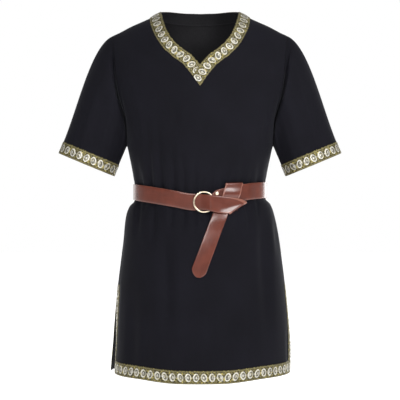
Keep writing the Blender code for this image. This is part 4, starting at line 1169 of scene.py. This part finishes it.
class Finish:
    """A material's or world's nodes under construction, with short ways to add and join them."""

    def __init__(self, owner):
        self.owner = owner
        owner.use_nodes = True
        self.tree = owner.node_tree

    def put(self, socket, value):
        if isinstance(value, Value):
            self.tree.links.new(value.socket, socket)
        else:
            socket.default_value = value

    def node(self, kind, inputs, output=0, **settings):
        """Output of a new node, its inputs set or joined."""
        node = self.tree.nodes.new("ShaderNode" + kind)
        for key, value in settings.items():
            setattr(node, key, value)
        for key, value in inputs.items():
            self.put(node.inputs[key], value)
        return Value(self, node.outputs[output])

    def math(self, operation, a, b=0.0):
        return self.node("Math", {0: a, 1: b}, operation=operation)

    def colours(self, share, a, b):
        return self.node("Mix", {0: share, 6: a, 7: b}, 2, data_type="RGBA")

    def place(self, layer="woven"):
        """The two places in metres on the flat cloth, and both as one vector."""
        chart = self.node("UVMap", {}, uv_map=layer)
        first, second = (self.node("SeparateXYZ", {0: chart}, axis) for axis in "XY")
        return first, second, chart

    def spot(self):
        """Place on the piece itself, in metres."""
        return self.node("TexCoord", {}, "Object")

    def noise(self, vector, scale, detail=3.0, stretch=None):
        if stretch:
            vector = self.node("Mapping", {"Vector": vector, "Scale": stretch})
        return self.node("TexNoise", {"Vector": vector, "Scale": scale, "Detail": detail}, "Fac")

    def luck(self, number, seed):
        """A value from -0.5 to 0.5 that is each numbered repeat's own."""
        return self.node("TexWhiteNoise", {"W": number + seed}, "Value", noise_dimensions="1D") - 0.5

    def rise(self, value, low, high):
        """0 below the low value, 1 above the high one, smooth between."""
        return self.node("MapRange", {0: value, 1: low, 2: high}, interpolation_type="SMOOTHSTEP")

    def fall(self, value, low, high):
        """1 below the low value, 0 above the high one, smooth between."""
        return 1.0 - self.rise(value, low, high)

    def bump(self, height, distance, strength, under=None):
        inputs = {"Height": height, "Distance": distance, "Strength": strength}
        if under:
            inputs["Normal"] = under
        return self.node("Bump", inputs)

    def threads(self, across, along, pitch):
        """Height of a plain weave: threads over and under each other."""
        turn = 2 * math.pi / pitch
        return self.math("SINE", across * turn) * self.math("SINE", along * turn)

    def stitches(self, along, across, line, length):
        """1 on a row of stitches that runs along at a place across."""
        beat = self.math("FRACT", along / length)
        on = self.rise(beat, 0.08, 0.2) - self.rise(beat, 0.76, 0.88)
        return on * self.fall(abs(across - line), 0.00018, 0.00042)

    def done(self, inputs, shader="Principled BSDF"):
        for key, value in inputs.items():
            self.put(self.tree.nodes[shader].inputs[key], value)
        return self.owner


def new_finish(name):
    return Finish(bpy.data.materials.new(name))


def shade(colour, amount=1.0):
    return (colour[0] * amount, colour[1] * amount, colour[2] * amount, 1)


def cloth_finish(name, looks, tone, seam=False, stitch_across=None):
    """Black plain-woven cloth with slubs, a soft bloom and puckered seams."""
    f = new_finish(name)
    across, along, chart = f.place()
    slubs = f.noise(chart, 1.0, 3.0, (1500, 130, 1)) + f.noise(chart, 1.0, 3.0, (110, 1300, 1))
    mottle = slubs * 0.35 + f.noise(chart, 9.0, 2.0) * 0.3
    colour = f.colours(f.rise(mottle, 0.36, 0.66), shade(tone, 0.72), shade(tone, 1.35))
    weave = f.bump(f.threads(across, along, looks.thread_pitch), 0.00012, 0.35)
    normal = f.bump(mottle, 0.0005, 0.45, weave)
    if seam:
        _, away, place = f.place("seam")
        pucker = f.noise(place, 1.0, 1.0, (150, 20, 1)) * f.fall(away, 0.0006, 0.012)
        normal = f.bump(pucker, 0.0022, 0.55, normal)
        # Painted shade: the cloth is drawn darker within 1.6 mm of a seam, as shade in the seam's
        # groove
        colour = f.colours(f.rise(away, 0.0, 0.0016), shade(tone, 0.35), colour)
    if stitch_across:
        stitches = f.stitches(across, along, stitch_across, looks.stitch_length)
        colour = f.colours(stitches, colour, shade(tone, 2.6))
        normal = f.bump(stitches, 0.0003, 0.6, normal)
    return f.done({"Base Color": colour, "Roughness": 0.8, "Normal": normal, "Sheen Weight": 0.035,
                   "Sheen Roughness": 0.45, "Sheen Tint": (0.72, 0.74, 0.84, 1),
                   "Specular IOR Level": 0.1})


def ribbon_finish(name, looks):
    """Woven ribbon: a row of pale ovals, each with a sprig, on an olive ground with light borders."""
    f = new_finish(name)
    along, across, chart = f.place()
    thread, pitch = looks.ribbon_thread, looks.oval_pitch
    olive, straw, pearl = looks.ribbon_ground, looks.ribbon_border, looks.oval_colour
    repeat = along / pitch
    a = f.math("SNAP", (f.math("FRACT", repeat) - 0.5) * pitch, thread)
    b = f.math("SNAP", across - RIBBON_WIDTH * MM / 2, thread)
    far_a, far_b = abs(a), abs(b)
    corner = pitch / 2 - far_a
    number = f.math("FLOOR", repeat)
    lean, shift, sprig = (f.luck(number, seed) for seed in (0.3, 7.6, 13.1))

    def oval(radius_a, radius_b, off_a=0.0):
        x = (a + b * (lean * 0.4) - off_a) / radius_a
        y = far_b / radius_b
        return f.math("SQRT", x * x + y * y)

    # The woven figures
    hole = oval(0.0043, 0.0066, shift * 0.0026)
    ring = f.fall(oval(0.0069, 0.0096), 0.93, 1.05) * f.rise(hole, 0.9, 1.1)
    heart = f.fall(oval(0.0013, 0.0036, sprig * 0.004), 0.75, 1.15)
    petals = f.fall(abs(far_a - 0.0026) + abs(b - sprig * 0.006), 0.0009, 0.0017)
    leaf = f.fall(corner + abs(far_b - 0.0082), 0.0022, 0.0034)
    link = f.fall(corner + far_b * 0.7, 0.0016, 0.0026)
    check = f.math("GREATER_THAN", f.math("FRACT", along / (thread * 6)), 0.5)
    border = f.rise(far_b, 0.0117, 0.0122) * f.fall(far_b, 0.0139, 0.0144) * (check * 0.38 + 0.62)
    stitches = (f.stitches(along, across, 0.0012, looks.stitch_length)
                + f.stitches(along, across, RIBBON_WIDTH * MM - 0.0012, looks.stitch_length))

    # Wear in the thread, and painted highlights: glint and sparkle paint in glints of the metal thread
    worn = f.noise(chart, 1.0, 3.0, (900, 900, 1))
    glint = f.rise(f.noise(chart, 150.0, 1.0), 0.32, 0.6)
    sparkle = f.rise(f.noise(chart, 210.0, 1.0), 0.52, 0.62)
    dim = f.rise(f.noise(chart, 140.0, 1.0, (1.0, 1.3, 1.0)), 0.5, 0.62)
    wave = f.rise(f.noise(chart, 55.0, 2.0), 0.38, 0.62)

    pale = link * 0.3
    for figure in (petals * 0.55, heart, ring):
        pale = f.math("MAXIMUM", figure, pale)
    # Worn places dim the pale figures; glint makes them brighter in places, a painted highlight
    pale = pale * f.rise(worn, 0.2, 0.48) * (glint * 0.5 + 0.5)
    colour = f.colours(f.rise(worn, 0.38, 0.62), shade(olive, 0.3), shade(olive, 1.3))
    # sparkle lays painted glints of light on the ground; the other layers are the weave's own colours
    for share, layer in ((sparkle * 0.8, shade(olive, 4.6)), (dim * 0.8, shade(olive, 0.15)),
                         (leaf * 0.75, shade(straw, 0.9)), (border, shade(straw)),
                         (f.fall(hole, 0.8, 1.1) * 0.6, shade(pearl, 0.22)),
                         (pale, f.colours(wave, shade(pearl, 0.8), shade(pearl))),
                         (stitches * 0.85, shade(olive, 0.3))):
        colour = f.colours(share, colour, layer)
    weave = f.bump(f.threads(across, along, thread * 2), 0.00018, 0.5)
    raised = f.bump(f.math("MAXIMUM", pale, border) - stitches * 0.8, 0.00035, 0.8, weave)
    return f.done({"Base Color": colour, "Roughness": 0.55 - pale * 0.15, "Normal": raised,
                   "Metallic": 0.55, "Sheen Weight": 0.05, "Sheen Roughness": 0.3,
                   "Sheen Tint": (0.86, 0.82, 0.95, 1), "Specular IOR Level": 0.3})


def leather_finish(name, looks):
    """Smooth red-brown leather: fine pores, pale edges drawn in as a painted highlight, a waxed gloss.
    """
    f = new_finish(name)
    _, across, chart = f.place()
    base = looks.leather_colour
    cloudy = f.noise(chart, 28.0, 4.0)
    mixed = cloudy * 0.75 + f.noise(chart, 1.0, 3.0, (45, 240, 1)) * 0.25
    edge = f.math("MINIMUM", across, BELT_WIDTH * MM - across)
    # Painted highlight: a pale band, in patches, just inside both edges
    rim_highlight = (f.rise(edge, 0.0002, 0.0007) - f.rise(edge, 0.0009, 0.0015)) * f.rise(cloudy, 0.45, 0.62)
    colour = f.colours(f.rise(mixed, 0.34, 0.66), shade(base, 0.84), shade(base, 1.14))
    # Painted highlight: the edges themselves take the lighter edge colour
    colour = f.colours(f.rise(edge, 0.0001, 0.0008), shade(looks.leather_edge_highlight), colour)
    colour = f.colours(rim_highlight * 0.4, colour, shade(base, 1.9))
    pores = f.node("TexVoronoi", {"Vector": f.spot(), "Scale": 850.0}, "Distance",
                   feature="DISTANCE_TO_EDGE")
    normal = f.bump(f.rise(pores, 0.0, 0.12), 0.00008, 0.3)
    groove = f.rise(edge, 0.0022, 0.0027) - f.rise(edge, 0.0017, 0.0022)
    normal = f.bump(groove, 0.0002, 0.35, normal)
    normal = f.bump(f.noise(f.spot(), 45.0, 2.0), 0.0006, 0.3, normal)
    return f.done({"Base Color": colour, "Roughness": cloudy * 0.06 + 0.22, "Normal": normal,
                   "Coat Weight": 0.25, "Coat Roughness": 0.15, "Coat IOR": 1.45,
                   "Specular IOR Level": 0.5})


def brass_finish(name, looks):
    """Pale brass, drawn and handled: fine scratches and duller patches."""
    f = new_finish(name)
    base = looks.brass_colour
    patches = f.noise(f.spot(), 160.0, 3.0)
    scratches = f.noise(f.spot(), 1.0, 2.0, (2200, 500, 500))
    colour = f.colours(f.rise(patches, 0.4, 0.68), shade(base), shade(base, 0.62))
    return f.done({"Base Color": colour, "Roughness": patches * 0.22 + 0.2,
                   "Normal": f.bump(scratches, 0.00006, 0.4), "Metallic": 1.0})


def colour_property(name, description, default):
    return bpy.props.FloatVectorProperty(name=name, description=description, subtype="COLOR", size=4,
                                         min=0.0, max=1.0, default=default + (1.0,))


def length_property(name, description, default):
    return bpy.props.FloatProperty(name=name, description=description, default=default, min=0.0001,
                                   precision=5, subtype="DISTANCE", unit="LENGTH")


class TunicLooks(bpy.types.PropertyGroup):
    """Sizes and colours of the tunic's cloth, ribbons and belt."""

    cloth_colour: colour_property("Cloth", "Colour of the black cloth", (0.0041, 0.0039, 0.0065))
    # Painted light: the cloth's inner side is drawn much lighter than its outer side, standing in for
    # light inside the neck
    inside_colour_painted_light: colour_property("Cloth inside", "Colour of the cloth's inner side",
                                   (0.0115, 0.0112, 0.0124))
    ribbon_ground: colour_property("Ribbon ground", "Colour behind the ribbon's ovals",
                                   (0.098, 0.082, 0.024))
    ribbon_border: colour_property("Ribbon border", "Colour of the ribbon's long borders",
                                   (0.2, 0.178, 0.1))
    oval_colour: colour_property("Ovals", "Colour of the ribbon's ovals", (0.72, 0.7, 0.63))
    leather_colour: colour_property("Leather", "Colour of the belt", (0.098, 0.0215, 0.0115))
    # Painted highlight: the belt's edges are drawn much lighter than its leather
    leather_edge_highlight: colour_property("Leather edge", "Colour of the belt's edges, lighter as a painted highlight",
                                  (0.21, 0.08, 0.055))
    brass_colour: colour_property("Brass", "Colour of the ring and rivet", (0.93, 0.8, 0.6))
    thread_pitch: length_property("Thread pitch", "Distance between the cloth's threads", 0.0014)
    ribbon_thread: length_property("Ribbon thread", "Thickness of the ribbon's threads", 0.0005)
    oval_pitch: length_property("Oval pitch", "Distance between the ribbon's ovals", 0.018)
    stitch_length: length_property("Stitch length", "Length of one machine stitch", 0.003)
    fold_strength: bpy.props.FloatProperty(
        name="Fold strength", description="Depth of the cloth's folds against the modelled ones",
        default=1.0, min=0.0, max=1.5, subtype="FACTOR")


def dress(piece, material, node):
    """Give a piece its finish, set it riding and let it stand for its node."""
    if not piece.data.polygons:
        raise RuntimeError(piece.name + " has no faces")
    piece.data.materials.clear()
    piece.data.materials.append(material)
    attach(piece, "root")
    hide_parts(node)
    return piece


class TUNIC_OT_panels(bpy.types.Operator):
    """Make the front, the back and the facing inside the back neck"""

    bl_idname = "tunic.panels"
    bl_label = "Front, back and neck facing"

    def execute(self, context):
        looks = context.scene.tunic_looks
        cloth = cloth_finish("black_cloth_panels", looks, looks.cloth_colour, seam=True)
        front, back = front_panel(looks.fold_strength), back_panel(looks.fold_strength)
        # The panels' inner faces take the lighter inside colour, painted light
        painted_light_inside = cloth_finish("black_cloth_inside_painted_light", looks, looks.inside_colour_painted_light)
        for name, sheet in (("front", front), ("back", back)):
            panel = dress(cloth_wall(name + "_cloth", sheet), cloth, name)
            panel.data.materials.append(painted_light_inside)
            count = len(sheet.faces())
            for face in panel.data.polygons[count:2 * count]:
                face.material_index = 1
        outer, inner = ([point - normal * inside for point, normal in zip(back.points, back.normals)]
                        for inside in (CLOTH + GAP, CLOTH + GAP + RIBBON))
        facing = wall("neck_facing_cloth", outer, inner, back.faces("band_high"), back.woven["band"])
        # The facing is drawn lighter still, painted light inside the back neck
        facing_painted_light = cloth_finish("black_cloth_facing_painted_light", looks, shade(looks.inside_colour_painted_light, 1.2),
                             stitch_across=FACING_STITCHES)
        dress(facing, facing_painted_light, "neck_facing")
        return {"FINISHED"}


class TUNIC_OT_sleeves(bpy.types.Operator):
    """Make the two short sleeves"""

    bl_idname = "tunic.sleeves"
    bl_label = "Sleeves"

    def execute(self, context):
        looks = context.scene.tunic_looks
        cloth = cloth_finish("black_cloth_sleeves", looks, looks.cloth_colour, seam=True)
        for half, side in ((LEFT, "left"), (RIGHT, "right")):
            sheet, vectors, girth, _ = sleeve_tube(half, looks.fold_strength)
            sleeve = cloth_wall("sleeve_%s_cloth" % side, sheet, vectors, girth)
            dress(sleeve, cloth, "sleeve_" + side)
        return {"FINISHED"}


class TUNIC_OT_ribbons(bpy.types.Operator):
    """Make the woven ribbons at the neck, cuffs, hem and slits"""

    bl_idname = "tunic.ribbons"
    bl_label = "Woven ribbons"

    def execute(self, context):
        looks = context.scene.tunic_looks
        self.woven = ribbon_finish("woven_ribbon_ovals", looks)
        front, back = front_panel(looks.fold_strength), back_panel(looks.fold_strength)
        band = front.band[LEFT]
        pulled = [(band[n][n], band[n + 1][n]) for n in range(BAND_CELLS + 1)]
        for side, half, length, ends in (("left", LEFT, 0.235, pulled), ("right", RIGHT, 0.26, ())):
            region = ("band", half)
            self.lay("neck_trim_" + side, front, front.faces(region), front.woven[region], length,
                     pulled=ends)
        self.lay("neck_trim_back", back, back.faces("band_low", "band_high"), back.woven["band"], 0.27)
        low = next(n for n, level in enumerate(LEVELS) if level >= HEM_RIBBON_TOP - NEAR)
        for face, sheet in (("front", front), ("back", back)):
            self.lay("hem_trim_" + face, sheet, sheet.faces("hem"), sheet.woven["hem"], 0.56)
            for half, side in ((LEFT, "left"), (RIGHT, "right")):
                rows, region = sheet.slit[half], ("slit", half)
                pulled = [(rows[low][k], rows[low + 1][k]) for k in range(-SLIT_CELLS - 1, 0)]
                self.lay("slit_trim_%s_%s" % (face, side), sheet, sheet.faces(region),
                         sheet.woven[region], 0.186, pulled=pulled)
        for half, side in ((LEFT, "left"), (RIGHT, "right")):
            sheet, _, _, girth = sleeve_tube(half, looks.fold_strength)
            length = round(girth * MM / looks.oval_pitch) * looks.oval_pitch / MM
            places = {i: (share * length, across) for i, (share, across) in sheet.woven["cuff"].items()}
            self.lay("cuff_trim_" + side, sheet, sheet.faces("cuff"), places, girth * MM, wrap=length)
        return {"FINISHED"}

    def lay(self, node, sheet, faces, places, length, wrap=0.0, pulled=()):
        """Make one ribbon; length, that of the ribbon laid flat in metres, is not used."""
        piece = ribbon_wall(node + "_ribbon", sheet, faces, places, wrap, pulled)
        dress(piece, self.woven, node)
        if node.startswith("cuff"):
            under = node.replace("cuff_trim", "sleeve")
        else:
            under = "back" if "back" in node else "front"
        under + "_cloth"


class TUNIC_OT_belt(bpy.types.Operator):
    """Make the leather belt: the waist stretch, flap, crossing and hanging end"""

    bl_idname = "tunic.belt"
    bl_label = "Leather belt"

    def execute(self, context):
        leather = leather_finish("brown_leather_waxed", context.scene.tunic_looks)
        for node, make in (("belt_strap", waist_strap), ("belt_flap", belt_flap),
                           ("belt_crossing", belt_crossing), ("belt_tail", belt_tail)):
            dress(make(), leather, node)
        return {"FINISHED"}


class TUNIC_OT_ring(bpy.types.Operator):
    """Make the brass ring and the rivet that closes the flap"""

    bl_idname = "tunic.ring"
    bl_label = "Ring and rivet"

    def execute(self, context):
        brass = brass_finish("pale_brass_worn", context.scene.tunic_looks)
        dress(ring_piece(), brass, "belt_ring")
        dress(rivet_piece(), brass, "belt_rivet")
        return {"FINISHED"}


class TUNIC_OT_studio(bpy.types.Operator):
    """Set the pale floor, the soft lights and the camera"""

    bl_idname = "tunic.studio"
    bl_label = "Studio"

    def execute(self, context):
        bpy.ops.object.select_all(action="DESELECT")
        bpy.ops.mesh.primitive_plane_add(size=14, location=(0, 0, -0.95))
        floor = bpy.context.object
        floor.name = "studio_floor"
        paper = new_finish("studio_paper").done({
            "Base Color": (0.93, 0.93, 0.93, 1), "Roughness": 0.9, "Emission Color": (1, 1, 1, 1),
            "Emission Strength": 0.8})
        floor.data.materials.append(paper)
        context.scene.world = self.light_room()
        for name, place, size, power in (
                ("key", (-0.5, -2.9, 1.1), 1.2, 56), ("fill", (1.55, -2.05, 1.1), 1.1, 56),
                ("back_left", (-1.5, 2.0, -0.3), 1.0, 3), ("back_right", (1.5, 2.0, -0.3), 1.0, 12)):
            lamp = bpy.data.lights.new(name, "AREA")
            lamp.size, lamp.energy = size, power
            light = bpy.data.objects.new(name, lamp)
            light.location = place
            aim = Vector((0, 0, -0.42)) - Vector(place)
            light.rotation_euler = aim.to_track_quat("-Z", "Y").to_euler()
            context.scene.collection.objects.link(light)
        lens = bpy.data.cameras.new("camera")
        lens.lens, lens.sensor_width = 90, 36
        camera = bpy.data.objects.new("camera", lens)
        camera.location, camera.rotation_euler = (0, -2.4, -0.449), (QUARTER_TURN, 0, 0)
        context.scene.collection.objects.link(camera)
        context.scene.camera = camera
        context.scene.view_settings.view_transform = "Standard"
        return {"FINISHED"}

    def light_room(self):
        """A white backdrop that lights the tunic from behind, and a dimmer room in front of it."""
        f = Finish(bpy.data.worlds.new("studio_light"))
        behind = f.node("SeparateXYZ", {0: f.node("TexCoord", {}, "Generated")}, "Y")
        light = f.node("MapRange", {"Value": behind, "From Min": 0.0, "From Max": 0.9,
                                    "To Min": 0.2, "To Max": 0.8})
        seen = f.node("LightPath", {}, "Is Camera Ray")
        return f.done({"Color": (1, 1, 1, 1), "Strength": f.math("MAXIMUM", light, seen)},
                      "Background")


OPERATORS = (TUNIC_OT_studio, TUNIC_OT_panels, TUNIC_OT_sleeves, TUNIC_OT_ribbons, TUNIC_OT_belt,
             TUNIC_OT_ring)


class TUNIC_PT_panel(bpy.types.Panel):
    """Sizes, colours and making steps of the tunic"""

    bl_idname = "TUNIC_PT_panel"
    bl_label = "Belted tunic"
    bl_space_type = "VIEW_3D"
    bl_region_type = "UI"
    bl_category = "Tunic"

    def draw(self, context):
        looks = context.scene.tunic_looks
        for name in TunicLooks.__annotations__:
            self.layout.prop(looks, name)
        for step in OPERATORS:
            self.layout.operator(step.bl_idname)


CLASSES = (TunicLooks,) + OPERATORS + (TUNIC_PT_panel,)


def register():
    for kind in CLASSES:
        bpy.utils.register_class(kind)
    bpy.types.Scene.tunic_looks = bpy.props.PointerProperty(type=TunicLooks)


def unregister():
    del bpy.types.Scene.tunic_looks
    for kind in reversed(CLASSES):
        bpy.utils.unregister_class(kind)


def main():
    register()
    bpy.ops.tunic.studio()
    bpy.ops.tunic.panels()
    bpy.ops.tunic.sleeves()
    bpy.ops.tunic.ribbons()
    bpy.ops.tunic.belt()
    bpy.ops.tunic.ring()


if __name__ == "__main__":
    main()
